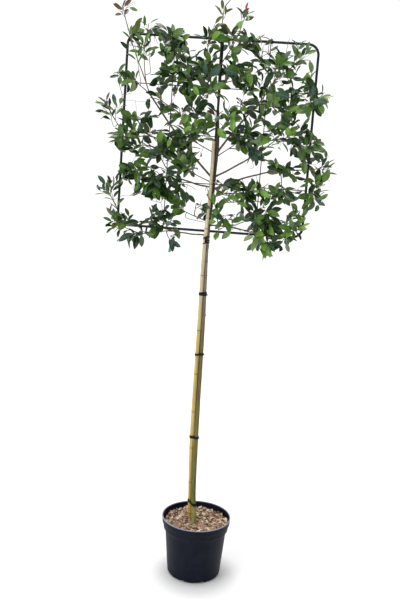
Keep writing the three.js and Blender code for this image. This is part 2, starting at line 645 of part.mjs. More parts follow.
// Of several places round the twig where a leaf fits, the one in the most open part of the crown's face
function tryLeaf(mass, twig, share, azimuth, spread, random) {
  const heading = twig.curve.getTangentAt(share);
  const sideways = heading.clone().cross(OBLIQUE).normalize();
  const upward = sideways.clone().cross(heading);
  const lean = vector(random() - 0.5, random() - 0.5, random() - 0.5);
  const length = LEAF_LENGTH * (0.9 + 0.2 * random());
  let best = null;
  let mostOpen = 0;
  for (let turn = 0; turn < LEAF_TRIES; turn += 1) {
    const angle = azimuth + GOLDEN_ANGLE * turn;
    const opened = spread + 0.3 * (turn % 3);
    const out = heading.clone().multiplyScalar(Math.cos(opened))
      .addScaledVector(sideways, Math.sin(opened) * Math.cos(angle))
      .addScaledVector(upward, Math.sin(opened) * Math.sin(angle))
      .addScaledVector(UP, -LEAF_DROOP).normalize();
    const face = vector(0, out.y < 0.2 ? -1 : 1, 0.7).addScaledVector(lean, LEAF_LEAN);
    face.addScaledVector(out, -face.dot(out)).normalize();
    const leaf = { root: pointOn(twig, share), out, face, length: length * (1 - LEAF_SHRINK * turn) };
    const [x, , z] = middleOf(leaf);
    const open = Math.min(...crownLeaves.map(({ middle }) => Math.hypot(middle.x - x, middle.z - z)), 1e3);
    if (open > mostOpen && leafFits(leaf, mass, twig)) [best, mostOpen] = [leaf, open];
  }
  if (best) crownLeaves.push({ mass, leaf: best, middle: middleOf(best), back: leafBack(leafCorners(best)) });
}

// Leaves in a spiral down a twig from its tip
function addLeaves(mass, twig, leafyLength, random) {
  const whole = twig.curve.getLength();
  const count = Math.max(1, Math.floor(leafyLength / LEAF_SPACING));
  const phase = random() * 2 * Math.PI;
  for (let i = 0; i <= count; i += 1) {
    const share = Math.max(LEAFY_SHARES[0], LEAFY_SHARES[1] - (i * LEAF_SPACING) / whole);
    tryLeaf(mass, twig, share, phase + i * GOLDEN_ANGLE, i === 0 ? TIP_SPREAD : SIDE_SPREAD, random);
  }
}

// A twig follows its curve in a few straight lengths
function makeTwig(curve, { radii, steps }) {
  const lengths = Array.from({ length: steps }, (_, i) => [
    curve.getPointAt(i / steps), curve.getPointAt((i + 1) / steps)]);
  return { curve, radii, steps, lengths };
}

function pointOn({ lengths }, share) {
  const place = Math.min(share * lengths.length, lengths.length - 1e-6);
  const [a, b] = lengths[Math.floor(place)];
  return a.clone().lerp(b, place % 1);
}

// Where a mass starts: on a limb's tip, or out of the stem's side
function rootOf({ tip, stem }) {
  if (stem) return { root: pointAtHeight(stemCurve, stem).add(vector(0, BEHIND_CANE, 0)), heading: null };
  const [carrier, place] = tip;
  const { curve } = carriers[carrier];
  const heading = curve.getTangentAt(1);
  const root = curve.getPointAt(1).addScaledVector(heading, GAP + 0.05);
  if (place !== undefined) {
    const turn = THREE.MathUtils.degToRad(place);
    const upward = UP.clone().addScaledVector(heading, -UP.dot(heading)).normalize();
    root.addScaledVector(upward, SEAT_OFFSET * Math.cos(turn));
    root.addScaledVector(upward.cross(heading), SEAT_OFFSET * Math.sin(turn));
  }
  return { root, heading };
}

// One stem to the middle of each lobe
function lobeStems(mass) {
  const { root, heading } = rootOf(mass);
  const stems = [];
  for (const [x, z, width, height, parent, share] of mass.lobes) {
    const forked = parent !== undefined;
    const start = forked ? pointOn(stems[parent], share) : root;
    const centre = vector(x, CROWN_Y, z);
    const reach = centre.clone().sub(start);
    const distance = reach.length();
    reach.normalize();
    const leaving = forked
      ? stems[parent].curve.getTangentAt(share).add(reach).normalize() : heading ?? reach;
    const arriving = reach.clone().addScaledVector(UP, 0.5).normalize();
    const end = centre.addScaledVector(arriving, 0.15 * Math.min(width, height));
    stems.push(makeTwig(new THREE.CubicBezierCurve3(
      start, start.clone().addScaledVector(leaving, 0.3 * distance),
      end.clone().addScaledVector(arriving, -0.35 * distance), end), LOBE_STEM));
  }
  return stems;
}

// Shoots from a lobe's stem to places spread evenly over its inner part
function lobeShoots(mass, [x, z, width, height], stem, random) {
  const count = Math.max(1, Math.round((width * height) / AREA_PER_SHOOT));
  const inner = [width, lobeDepth(width, height), height].map(
    (size) => Math.max(SHOOT_REACH * size, size - LEAF_OVERHANG));
  const phase = random() * 2 * Math.PI;
  const shoots = [];
  for (let k = 0; k < count; k += 1) {
    const rise = 1 - (2 * (k + 0.5)) / count;
    const round = Math.sqrt(1 - rise * rise);
    const angle = phase + k * GOLDEN_ANGLE;
    const tip = vector(
      x + inner[0] * round * Math.cos(angle), CROWN_Y + inner[1] * round * Math.sin(angle),
      z + inner[2] * rise);
    const from = pointOn(stem, 0.85 - 0.3 * random());
    const shoot = makeTwig(new THREE.LineCurve3(from, tip), SHOOT);
    const fits = shoot.lengths.every(([a, b]) => inSpace(b, mass)
      && twigKeepsClear(a, b, SHOOT.radii[0], mass.name));
    if (fits) shoots.push(shoot);
  }
  return shoots;
}

const LEAF_FACES = [0, 3, 1, 2, 1, 3, 0, 1, 4, 0, 4, 3, 1, 2, 4, 2, 3, 4];

function leafSolid(leaf) {
  const geometry = new THREE.BufferGeometry().setFromPoints(leafCorners(leaf));
  return solidFrom(geometry.setIndex(LEAF_FACES));
}

// A three-sided twig: a ring of corners at each step, and a triangle across each end
function twigSolid({ curve, radii, steps }) {
  const { normals, binormals } = curve.computeFrenetFrames(steps);
  const corners = [];
  const triangles = [0, 2, 1];
  for (let step = 0; step <= steps; step += 1) {
    const radius = between(...radii, step / steps);
    for (let k = 0; k < TWIG_SIDES; k += 1) {
      const angle = (k / TWIG_SIDES) * 2 * Math.PI;
      corners.push(curve.getPointAt(step / steps)
        .addScaledVector(normals[step], radius * Math.cos(angle))
        .addScaledVector(binormals[step], radius * Math.sin(angle)));
      const [a, b] = [TWIG_SIDES * step + k, TWIG_SIDES * step + ((k + 1) % TWIG_SIDES)];
      if (step < steps) triangles.push(a, b, a + TWIG_SIDES, b, b + TWIG_SIDES, a + TWIG_SIDES);
    }
  }
  const end = TWIG_SIDES * steps;
  triangles.push(end, end + 1, end + 2);
  return solidFrom(new THREE.BufferGeometry().setFromPoints(corners).setIndex(triangles));
}

// The stems of all masses come first, then their shoots, and the leaves last
const limbsOf = ({ name }, { lengths, radii }) => lengths.map(
  ([a, b]) => ({ name, a, b, radius: Math.max(...radii) }));
const withStems = MASSES.map(
  (mass, number) => ({ mass, random: seeded(number + 1), stems: lobeStems(mass) }));
for (const { mass, stems } of withStems) limbs.push(...stems.flatMap((stem) => limbsOf(mass, stem)));
const grown = withStems.map(({ mass, random, stems }) => {
  const shoots = stems.map((stem, i) => lobeShoots(mass, mass.lobes[i], stem, random));
  limbs.push(...shoots.flat().flatMap((shoot) => limbsOf(mass, shoot)));
  return { mass, random, stems, shoots };
});
for (const { mass, random, stems, shoots } of grown) {
  for (const [i, stem] of stems.entries()) {
    const [, , width, height] = mass.lobes[i];
    addLeaves(mass, stem, LOBE_STEM.leafyShare * Math.min(width, height), random);
    for (const shoot of shoots[i]) addLeaves(mass, shoot, SHOOT.leafyShare * shoot.curve.getLength(), random);
  }
}
for (const { mass, stems, shoots } of grown) {
  const leaves = crownLeaves.filter((leaf) => leaf.mass === mass).map(({ leaf }) => leaf);
  const twigs = [...stems, ...shoots.flat()];
  const whole = wasm.Manifold.union([...twigs.map(twigSolid), ...leaves.map(leafSolid)]);
  const { clearance } = carriers[mass.stem ? 'stem' : mass.tip[0]];
  addPiece(mass.name, geometryFrom(mass.stem ? whole.subtract(clearance) : whole), leafGreen);
}

export default part;
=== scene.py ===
# A pleached photinia in its nursery pot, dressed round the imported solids.
# Metres, +Z up. The origin is the middle of the pot's underside; the crown's face looks along -Y.
import math

import bpy
import numpy as np
from mathutils import Matrix, Vector, geometry


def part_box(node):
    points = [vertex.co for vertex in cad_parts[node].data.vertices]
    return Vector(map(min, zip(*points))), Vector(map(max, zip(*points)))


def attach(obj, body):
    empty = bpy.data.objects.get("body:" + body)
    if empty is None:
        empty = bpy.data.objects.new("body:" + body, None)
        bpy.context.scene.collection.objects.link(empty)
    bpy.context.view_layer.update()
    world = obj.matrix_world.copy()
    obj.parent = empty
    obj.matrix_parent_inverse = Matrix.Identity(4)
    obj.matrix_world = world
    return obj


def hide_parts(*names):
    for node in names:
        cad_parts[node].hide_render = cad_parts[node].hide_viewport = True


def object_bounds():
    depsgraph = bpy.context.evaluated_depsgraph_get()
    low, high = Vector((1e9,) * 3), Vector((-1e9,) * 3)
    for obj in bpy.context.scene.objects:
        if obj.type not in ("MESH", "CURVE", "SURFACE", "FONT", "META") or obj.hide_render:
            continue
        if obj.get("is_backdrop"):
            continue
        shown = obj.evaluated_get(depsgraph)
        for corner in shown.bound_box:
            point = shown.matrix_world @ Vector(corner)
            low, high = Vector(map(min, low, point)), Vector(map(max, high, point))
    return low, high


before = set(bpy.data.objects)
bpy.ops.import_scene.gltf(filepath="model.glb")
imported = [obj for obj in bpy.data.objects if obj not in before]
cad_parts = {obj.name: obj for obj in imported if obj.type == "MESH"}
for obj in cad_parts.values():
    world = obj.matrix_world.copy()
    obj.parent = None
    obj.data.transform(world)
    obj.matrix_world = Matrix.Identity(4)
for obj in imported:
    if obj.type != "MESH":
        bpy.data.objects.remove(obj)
solid_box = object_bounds()
MM = 0.001

# ------------------------------------------------------------------ pot
# A blow-moulded nursery pot of charcoal plastic. Its wall rises from the foot with faint flutes,
# steps out to a collar and again to a rolled rim, and eight drain notches open its foot.
POT_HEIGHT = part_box("pot")[1].z
POT_PROFILE = [  # radius, height, fillet, in millimetres
    (0, 0, 0), (171, 0, 5), (179, 9, 6), (206, 304, 5), (218, 309, 4), (220.5, 347, 2), (228, 349, 3),
    (230.5, 381, 3), (232, 384, 2), (232, 390, 2.5), (225, 390, 2.5), (219, 346, 4), (203, 300, 8),
    (176, 12, 6), (167, 3, 4), (0, 3, 0),
]
POT_SIDES = 288
POT_ROW = 9 * MM
FLUTES = 72
FLUTE_DEPTH = 0.45 * MM
FLUTED_FROM, FLUTED_TO = 20 * MM, 290 * MM
FLUTE_FADE = 10 * MM
WALL_FOOT, WALL_FLARE = 177.5 * MM, 27 / 304  # just inside the outer face: radius, and growth with height
NOTCH_SIZE = (34 * MM, 38 * MM, 28 * MM)
NOTCH_ARCH = [(-0.5, -0.5), (0.5, -0.5), (0.5, 0.2), (0.3, 0.5), (-0.3, 0.5), (-0.5, 0.2)]
NOTCH_COUNT = 8
NOTCH_RADIUS = 179 * MM
LIP_DUST_AND_HIGHLIGHT = (6 * MM, 1 * MM)  # how far below the top the rim begins to turn pale with dust and a painted highlight, and is fully so


def rounded_profile(corners, row):
    """A profile in metres, its corners rounded by their fillets and its long stretches cut into rows."""
    arc_steps = 4
    points = []
    for i, (radius, height, fillet) in enumerate(corners):
        corner = Vector((radius, height)) * MM
        if fillet == 0:
            points.append(corner)
            continue
        before = Vector(corners[i - 1][:2]) * MM - corner
        after = Vector(corners[i + 1][:2]) * MM - corner
        reach = min(fillet * MM, before.length / 2, after.length / 2)
        start, end = corner + before.normalized() * reach, corner + after.normalized() * reach
        for k in range(arc_steps + 1):
            t = k / arc_steps
            points.append(start * (1 - t) ** 2 + corner * (2 * t * (1 - t)) + end * t * t)
    rows = [points[0]]
    for point in points[1:]:
        start = rows[-1]
        cuts = max(1, math.ceil((point - start).length / row))
        rows += [start.lerp(point, k / cuts) for k in range(1, cuts)] + [point]
    return rows


def make_piece(name, vertices, faces, materials=(), slots=None, sharp=50):
    """A new object with this mesh, shaded smooth except at edges sharper than an angle in degrees."""
    mesh = bpy.data.meshes.new(name)
    mesh.from_pydata(np.asarray(vertices, float).tolist(), [], faces)
    mesh.polygons.foreach_set("use_smooth", [True] * len(faces))
    mesh.set_sharp_from_angle(angle=math.radians(sharp))
    for material in materials:
        mesh.materials.append(material)
    if slots is not None:
        mesh.polygons.foreach_set("material_index", slots)
    piece = bpy.data.objects.new(name, mesh)
    bpy.context.scene.collection.objects.link(piece)
    return piece


def lathed(name, profile, sides, change):
    """A profile turned about Z and closed on the axis; change gives each point's extra radius."""
    vertices = [(0, 0, profile[0].y), (0, 0, profile[-1].y)]
    for radius, height in profile[1:-1]:
        for k in range(sides):
            angle = 2 * math.pi * k / sides
            r = radius + change(angle, radius, height)
            vertices.append((r * math.cos(angle), r * math.sin(angle), height))
    last = len(profile) - 3

    def at(row, k):
        return 2 + row * sides + k % sides

    faces = [(0, at(0, k + 1), at(0, k)) for k in range(sides)]
    for row in range(last):
        faces += [(at(row, k), at(row, k + 1), at(row + 1, k + 1), at(row + 1, k))
                  for k in range(sides)]
    faces += [(1, at(last, k), at(last, k + 1)) for k in range(sides)]
    return make_piece(name, vertices, faces)


def settled(piece):
    """Makes what the piece's modifiers give its own plain mesh."""
    graph = bpy.context.evaluated_depsgraph_get()
    made = bpy.data.meshes.new_from_object(piece.evaluated_get(graph))
    piece.modifiers.clear()
    piece.data = made
    return piece


def add_node(tree, kind, inputs=None, **settings):
    """A node with its settings, and its inputs by name or number: a value or another node's output."""
    made = tree.nodes.new(kind)
    for key, value in settings.items():
        setattr(made, key, value)
    for key, value in (inputs or {}).items():
        if isinstance(value, bpy.types.NodeSocket):
            tree.links.new(value, made.inputs[key])
        else:
            made.inputs[key].default_value = value
    return made


def between(tree, share, first, second):
    """A colour between two."""
    return add_node(tree, "ShaderNodeMix", {0: share, 6: first, 7: second}, data_type="RGBA").outputs[2]


def ranged(tree, value, low, high, reach=1):
    """A share that rises from 0 to reach as the value goes from low to high."""
    return add_node(tree, "ShaderNodeMapRange", {
        "Value": value, "From Min": low, "From Max": high, "To Max": reach}).outputs["Result"]


def new_material(name, roughness, gloss=0.5, coat=0):
    """A material, its node tree, and its shader's inputs."""
    material = bpy.data.materials.new(name)
    material.use_nodes = True
    surface = material.node_tree.nodes["Principled BSDF"].inputs
    surface["Roughness"].default_value = roughness
    surface["Specular IOR Level"].default_value = gloss
    surface["Coat Weight"].default_value = coat
    return material, material.node_tree, surface


def bump(tree, surface, height, strength, distance):
    """Raises the surface by a height from 0 to 1 that stands for a distance in metres."""
    made = add_node(tree, "ShaderNodeBump", {
        "Height": height, "Strength": strength, "Distance": distance})
    tree.links.new(made.outputs["Normal"], surface["Normal"])


def object_place(tree):
    """A point's place in the plant's own coordinates."""
    return add_node(tree, "ShaderNodeTexCoord").outputs["Object"]


def make_mottling():
    """A shader group: two tones in soft patches, and a fine grain, for what is never one even colour."""
    tree = bpy.data.node_groups.new("mottling", "ShaderNodeTree")
    for label, kind, value in [
            ("Tone", "Color", (0.5, 0.5, 0.5, 1)), ("Other tone", "Color", (0.3, 0.3, 0.3, 1)),
            ("Patch scale", "Float", 30), ("Grain scale", "Float", 900), ("Stretch", "Vector", (1, 1, 1))]:
        socket = tree.interface.new_socket(label, in_out="INPUT", socket_type="NodeSocket" + kind)
        socket.default_value = value
    tree.interface.new_socket("Colour", in_out="OUTPUT", socket_type="NodeSocketColor")
    tree.interface.new_socket("Grain", in_out="OUTPUT", socket_type="NodeSocketFloat")
    given = add_node(tree, "NodeGroupInput").outputs
    place = add_node(tree, "ShaderNodeVectorMath", {
        0: object_place(tree), 1: given["Stretch"]}, operation="MULTIPLY").outputs[0]
    patches = add_node(tree, "ShaderNodeTexNoise", {
        "Vector": place, "Scale": given["Patch scale"], "Detail": 4, "Roughness": 0.6})
    grain = add_node(tree, "ShaderNodeTexNoise", {
        "Vector": place, "Scale": given["Grain scale"], "Detail": 3})
    share = ranged(tree, patches.outputs["Fac"], 0.36, 0.64)
    add_node(tree, "NodeGroupOutput", {
        "Colour": between(tree, share, given["Tone"], given["Other tone"]), "Grain": grain.outputs["Fac"]})
    return tree


MOTTLING = make_mottling()


def mottled(tree, tone, other, patch, grain, stretch=(1, 1, 1)):
    """The colour and the grain of a mottled surface; patch and grain are about their sizes in metres."""
    made = add_node(tree, "ShaderNodeGroup", node_tree=MOTTLING)
    for key, value in {"Tone": (*tone, 1), "Other tone": (*other, 1), "Patch scale": 1 / patch,
                       "Grain scale": 1 / grain, "Stretch": stretch}.items():
        made.inputs[key].default_value = value
    return made.outputs["Colour"], made.outputs["Grain"]


def mottled_material(name, roughness, tone, other, patch, grain, relief, depth, gloss=0.5):
    """A material of two tones in patches, its grain raised by a depth in metres."""
    material, tree, surface = new_material(name, roughness, gloss)
    colour, fine = mottled(tree, tone, other, patch, grain)
    tree.links.new(colour, surface["Base Color"])
    bump(tree, surface, fine, relief, depth)
    return material


def height_of(tree):
    return add_node(tree, "ShaderNodeSeparateXYZ", {0: object_place(tree)}).outputs["Z"]


def keep(piece, slot, *nodes):
    """The piece rides with the plant and stands for these nodes. Its slot is not used."""
    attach(piece, "root")
    if nodes:
        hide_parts(*nodes)


def pot_plastic():
    material, tree, surface = new_material("charcoal_pot_plastic", 0.5, 0.12)
    colour, grain = mottled(tree, (0.0028, 0.0045, 0.0115), (0.0055, 0.008, 0.019), 60 * MM, 1.2 * MM)
    # The rim's top edge is painted pale bluish grey: partly dust, partly a painted highlight where the lip
    # catches the light.
    lip_dust_and_highlight = ranged(tree, height_of(tree), POT_HEIGHT - LIP_DUST_AND_HIGHLIGHT[0], POT_HEIGHT - LIP_DUST_AND_HIGHLIGHT[1], 0.9)
    tree.links.new(between(tree, lip_dust_and_highlight, colour, (0.3, 0.33, 0.42, 1)), surface["Base Color"])
    bump(tree, surface, grain, 0.25, 0.4 * MM)
    return material


def flutes(angle, radius, height):
    """Faint flutes on the outside of the wall, which fade out above the foot and below the collar."""
    if radius <= WALL_FOOT + WALL_FLARE * height:
        return 0
    fade = min(1, max(0, (height - FLUTED_FROM) / FLUTE_FADE), max(0, (FLUTED_TO - height) / FLUTE_FADE))
    return -FLUTE_DEPTH * fade * math.sin(FLUTES * angle / 2) ** 8


def notch_cutter():
    """One mesh of all the drain notches."""
    vertices, faces = [], []
    deep, wide, high = NOTCH_SIZE
    count = len(NOTCH_ARCH)
    for i in range(NOTCH_COUNT):
        angle = (i + 0.5) / NOTCH_COUNT * 2 * math.pi
        out = Vector((math.cos(angle), math.sin(angle), 0))
        across = Vector((-math.sin(angle), math.cos(angle), 0))
        first = len(vertices)
        for end in (-0.5, 0.5):
            vertices += [out * (NOTCH_RADIUS + end * deep) + across * (a * wide) + Vector((0, 0, b * high))
                         for a, b in NOTCH_ARCH]
        faces += [tuple(first + k for k in reversed(range(count))),
                  tuple(first + count + k for k in range(count))]
        faces += [(first + k, first + (k + 1) % count, first + count + (k + 1) % count, first + count + k)
                  for k in range(count)]
    return make_piece("notch_cutter", vertices, faces)


pot_shell = lathed("pot_shell", rounded_profile(POT_PROFILE, POT_ROW), POT_SIDES, flutes)
cutter = notch_cutter()
cut = pot_shell.modifiers.new("notches", "BOOLEAN")
cut.operation, cut.solver, cut.object = "DIFFERENCE", "EXACT", cutter
settled(pot_shell)
bpy.data.objects.remove(cutter)
pot_shell.data.materials.clear()
pot_shell.data.materials.append(pot_plastic())
keep(pot_shell, "pot_plastic", "pot")

# ------------------------------------------------------------------ potting mix and bark chips
# Dark compost fills the pot to 40 mm below its rim, under a loose mulch of pine bark: flat
# splinters in tan, pinkish brown and dark brown, with a few pale ones, lying at all angles.
MIX_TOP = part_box("soil")[1].z - 6 * MM
MIX_PROFILE = [  # radius, height, fillet, in millimetres
    (0, 10, 0), (170, 10, 3), (176, 20, 3), (202, 300, 5), (215, 338, 5), (209, 343.5, 4), (0, 344, 0),
]
MIX_SIDES = 96
MIX_LUMPS = 1.6 * MM
CHIP_FIELD_RADIUS = 204 * MM
CHIP_FIELD_SIDES = 48
CHIP_DEPTH = 8 * MM
CHIP_TILT = 0.55
CHIP_SCALES = ((0.5, 0.6, 0.6), (1.4, 1.3, 1.5))  # least and greatest
CHIP_CRUMPLE = 22 * MM
CHIP_WAVES = 130
CLEARANCE = 24 * MM
WALL_RADIUS = 214 * MM
STEM_FOOT = (-12 * MM, -43 * MM, 350 * MM)
CANE_FOOT = (-46 * MM, 24 * MM, 350 * MM)
CHIP_KINDS = [  # name, colour, other colour, points per square metre, size in millimetres, seed
    ("bark_chips_dark", (0.06, 0.032, 0.02), (0.13, 0.075, 0.045), 4300, (26, 13, 4), 3),
    ("bark_chips_tan", (0.3, 0.2, 0.12), (0.46, 0.33, 0.2), 3500, (29, 14, 4), 7),
    ("bark_chips_pink", (0.42, 0.26, 0.18), (0.22, 0.12, 0.075), 3300, (30, 14, 4), 11),
    ("bark_chips_pale", (0.72, 0.58, 0.43), (0.5, 0.39, 0.28), 1100, (36, 20, 6), 17),
]


def new_modifier_tree(name, inputs):
    """A Geometry Nodes tree with named inputs, and its input and geometry sockets."""
    tree = bpy.data.node_groups.new(name, "GeometryNodeTree")
    tree.interface.new_socket("Geometry", in_out="INPUT", socket_type="NodeSocketGeometry")
    for label, kind in inputs:
        tree.interface.new_socket(label, in_out="INPUT", socket_type="NodeSocket" + kind)
    tree.interface.new_socket("Geometry", in_out="OUTPUT", socket_type="NodeSocketGeometry")
    return tree, add_node(tree, "NodeGroupInput").outputs


def finish_tree(tree, instances, material):
    """Ends a tree with its instances realized and their material set."""
    real = add_node(tree, "GeometryNodeRealizeInstances", {"Geometry": instances}).outputs["Geometry"]
    add_node(tree, "NodeGroupOutput", {"Geometry": add_node(tree, "GeometryNodeSetMaterial", {
        "Geometry": real, "Material": material}).outputs["Geometry"]})


def grown(piece, tree, values):
    """The piece's mesh as a tree of nodes makes it from these values."""
    modifier = piece.modifiers.new(tree.name, "NODES")
    modifier.node_group = tree
    for item in tree.interface.items_tree:
        if item.in_out == "INPUT" and item.name in values:
            modifier[item.identifier] = values[item.name]
    return settled(piece)


def vector_math(tree, operation, first, second):
    return add_node(tree, "ShaderNodeVectorMath", {0: first, 1: second}, operation=operation).outputs[0]


def roughened(tree, shape, waves, depth):
    """The shape with each of its points moved by soft noise up to about half this depth."""
    place = add_node(tree, "GeometryNodeInputPosition").outputs[0]
    noise = add_node(tree, "ShaderNodeTexNoise", {"Vector": place, "Scale": waves, "Detail": 1})
    centred = vector_math(tree, "SUBTRACT", noise.outputs["Color"], (0.5, 0.5, 0.5))
    offset = add_node(tree, "ShaderNodeVectorMath", {0: centred, "Scale": depth}, operation="SCALE")
    return add_node(tree, "GeometryNodeSetPosition", {
        "Geometry": shape, "Offset": offset.outputs[0]}).outputs["Geometry"]


def make_mulch():
    """A tree that strews crumpled flat chips over a disc, clear of the stem and the cane."""
    tree, given = new_modifier_tree("mulch", [
        ("Density", "Float"), ("Chip size", "Vector"), ("Depth", "Float"), ("Stem foot", "Vector"),
        ("Cane foot", "Vector"), ("Clearance", "Float"), ("Wall radius", "Float"), ("Seed", "Int"),
        ("Material", "Material")])
    points = add_node(tree, "GeometryNodeDistributePointsOnFaces", {
        "Mesh": given["Geometry"], "Density": given["Density"], "Seed": given["Seed"]}).outputs["Points"]
    place = add_node(tree, "GeometryNodeInputPosition").outputs[0]
    for foot in ("Stem foot", "Cane foot"):
        away = add_node(tree, "ShaderNodeVectorMath", {0: place, 1: given[foot]}, operation="DISTANCE")
        close = add_node(tree, "FunctionNodeCompare", {
            0: away.outputs["Value"], 1: given["Clearance"]}, operation="LESS_THAN").outputs[0]
        points = add_node(tree, "GeometryNodeDeleteGeometry", {
            "Geometry": points, "Selection": close}, domain="POINT").outputs["Geometry"]
    turn = add_node(tree, "FunctionNodeRandomValue", {
        0: (-CHIP_TILT, -CHIP_TILT, 0), 1: (CHIP_TILT, CHIP_TILT, 2 * math.pi),
        "Seed": given["Seed"]}, data_type="FLOAT_VECTOR")
    size = add_node(tree, "FunctionNodeRandomValue", {
        0: CHIP_SCALES[0], 1: CHIP_SCALES[1], "Seed": given["Seed"]}, data_type="FLOAT_VECTOR")
    lift = add_node(tree, "FunctionNodeRandomValue", {
        2: 0.0, 3: given["Depth"], "Seed": given["Seed"]}, data_type="FLOAT")
    raised = add_node(tree, "ShaderNodeCombineXYZ", {"Z": lift.outputs[1]}).outputs[0]
    points = add_node(tree, "GeometryNodeSetPosition", {
        "Geometry": points, "Offset": raised}).outputs["Geometry"]
    chip = add_node(tree, "GeometryNodeMeshCube", {
        "Size": given["Chip size"], "Vertices X": 4, "Vertices Y": 3, "Vertices Z": 2}).outputs["Mesh"]
    strewn = add_node(tree, "GeometryNodeInstanceOnPoints", {
        "Points": points, "Instance": chip, "Rotation": turn.outputs[0], "Scale": size.outputs[0]})
    real = add_node(tree, "GeometryNodeRealizeInstances", {"Geometry": strewn.outputs["Instances"]})
    crumpled = roughened(tree, real.outputs["Geometry"], CHIP_WAVES, CHIP_CRUMPLE)
    outward = vector_math(tree, "MULTIPLY", place, (1, 1, 0))
    reach = add_node(tree, "ShaderNodeVectorMath", {0: outward}, operation="LENGTH").outputs["Value"]
    held = add_node(tree, "ShaderNodeMath", {0: reach, 1: given["Wall radius"]}, operation="MINIMUM")
    share = add_node(tree, "ShaderNodeMath", {0: held.outputs[0], 1: reach}, operation="DIVIDE").outputs[0]
    scale = add_node(tree, "ShaderNodeCombineXYZ", {"X": share, "Y": share, "Z": 1.0}).outputs[0]
    inside = vector_math(tree, "MULTIPLY", place, scale)
    pressed = add_node(tree, "GeometryNodeSetPosition", {
        "Geometry": crumpled, "Position": inside}).outputs["Geometry"]
    finish_tree(tree, pressed, given["Material"])
    return tree


compost = lathed("compost", rounded_profile(MIX_PROFILE, POT_ROW), MIX_SIDES, lambda *place: 0)
for vertex in compost.data.vertices:
    if vertex.co.z > MIX_TOP - 2 * MM:
        x, y = vertex.co.x / MM, vertex.co.y / MM
        vertex.co.z += MIX_LUMPS * (math.sin(x / 9) * math.cos(y / 11) + math.sin((x + y) / 17))
compost.data.materials.append(mottled_material(
    "potting_mix", 0.95, (0.05, 0.03, 0.02), (0.16, 0.1, 0.065), 8 * MM, 2 * MM, 0.9, 3 * MM))
keep(compost, "bark_chips", "soil")

MULCH = make_mulch()
for name, tone, other, density, size, seed in CHIP_KINDS:
    bark_chip = mottled_material(name, 0.85, tone, other, 9 * MM, 1.5 * MM, 0.7, 1 * MM)
    ring = [(CHIP_FIELD_RADIUS * math.cos(a), CHIP_FIELD_RADIUS * math.sin(a), MIX_TOP + 2 * MM)
            for a in np.linspace(0, 2 * math.pi, CHIP_FIELD_SIDES, endpoint=False)]
    chips = make_piece(name, ring, [tuple(range(CHIP_FIELD_SIDES))])
    grown(chips, MULCH, {
        "Density": float(density), "Chip size": [side * MM for side in size], "Depth": CHIP_DEPTH,
        "Stem foot": STEM_FOOT, "Cane foot": CANE_FOOT, "Clearance": CLEARANCE, "Wall radius": WALL_RADIUS,
        "Seed": seed, "Material": bark_chip})
    keep(chips, "bark_chips")

# ------------------------------------------------------------------ stem
# The tree's own stem: smooth young bark, olive green at the foot and greyer with height, with
# rings of leaf scars, collars where boughs leave it, and the healed stubs of pruned twigs.
# From about 2.4 m up, inside the crown, the stem's tones are painted shade, darker than its bark really is.
BARE_FROM = 349  # the height in millimetres where stem and cane leave the mulch
STEM_LINE = [(-11, -44, 330.3), (-13, -42, 380), (-27, -25, 560), (-31, -21.5, 900), (-31.5, -21.5, 1100),
             (-28.5, -21.5, 1730), (-30.5, -21.5, 2180), (-28, -21.5, 2340), (-14.5, -21.5, 2520),
             (-8, -21.5, 2680), (0, -21.5, 2860), (-9, -21.5, 3080), (-13, -21.5, 3250), (-14, -21.5, 3520)]
STEM_TAPER = [(330.3, 19), (350.3, 18), (375, 15.8), (600, 15.6), (1000, 15.5), (1730, 14.6), (2000, 12.9),
              (2190, 11.2), (2300, 11.5), (2860, 11.5), (2960, 8.5), (3200, 6), (3520, 3.4)]
STEM_ROW = 6
STEM_SIDES = 32
SCAR_SPACING, SCAR_WIDTH, SCAR_RISE = 58, 4, 0.35
STUB_SIDES = 12
STUB_SHAPE = (1.25, 1.2, 1.05, 0.85, 0.7, 0.45)  # shares of its radius from root to tip
SWELLING_RISE, SWELLING_REACH = 0.55, 1.5
STUBS = [  # height, degrees round from the front towards the right, length, radius
    (1208, 40, 3, 5), (1560, 75, 2.5, 4), (1762, 70, 4, 6), (2110, 20, 2.5, 5), (920, 65, 2.5, 4),
    (2022, 60, 4, 4), (2780, 60, 5, 3.5), (690, 160, 3, 4), (1450, 200, 3, 5), (1900, 175, 3, 4),
]
BOUGHS = [  # name, carrier, height, tip, bow, radii: as the solids have them
    ("left_main_bough", "stem", 2632, (-440, -12, 3140), 22, (7, 5)),
    ("left_side_bough", "left_main_bough", 2868, (-420, -20, 2884), 14, (4.6, 4.2)),
    ("left_low_bough", "stem", 2585, (-268, -14, 2648), 10, (5.6, 4.3)),
    ("left_rail_bough", "stem", 2284, (-262, -22, 2298), 5, (4.8, 4.2)),
    ("left_upper_bough", "stem", 3050, (-168, -14, 3200), 18, (5, 4.2)),
    ("right_upper_bough", "stem", 2800, (232, -12, 3104), -12, (7, 4.6)),
    ("right_middle_bough", "stem", 2652, (300, -12, 2848), 10, (6, 4.4)),
    ("right_low_bough", "stem", 2572, (385, -12, 2712), -14, (6.2, 4.3)),
    ("right_rail_bough", "stem", 2346, (205, -24, 2326), -8, (5, 4.2)),
]


class Line:
    """A centre line in millimetres that is followed by shares of its length."""

    def __init__(self, points):
        self.points = np.asarray(points, float)
        steps = np.linalg.norm(np.diff(self.points, axis=0), axis=1)
        self.reached = np.concatenate([[0], np.cumsum(steps)])
        self.length = self.reached[-1]

    def at(self, share):
        return np.stack([np.interp(np.asarray(share) * self.length, self.reached, axis)
                         for axis in self.points.T], axis=-1)

    def heading(self, share):
        reach = self.at(min(1, share + 0.01)) - self.at(max(0, share - 0.01))
        return reach / np.linalg.norm(reach)

    def even(self, step):
        """Points along it at about this step."""
        return self.at(np.linspace(0, 1, max(2, round(self.length / step) + 1)))

    def at_height(self, height):
        """The share of its length at which it first reaches a height."""
        steps = 2000
        heights = self.at(np.linspace(0, 1, steps + 1))[:, 2]
        return float(np.argmax(heights >= height)) / steps


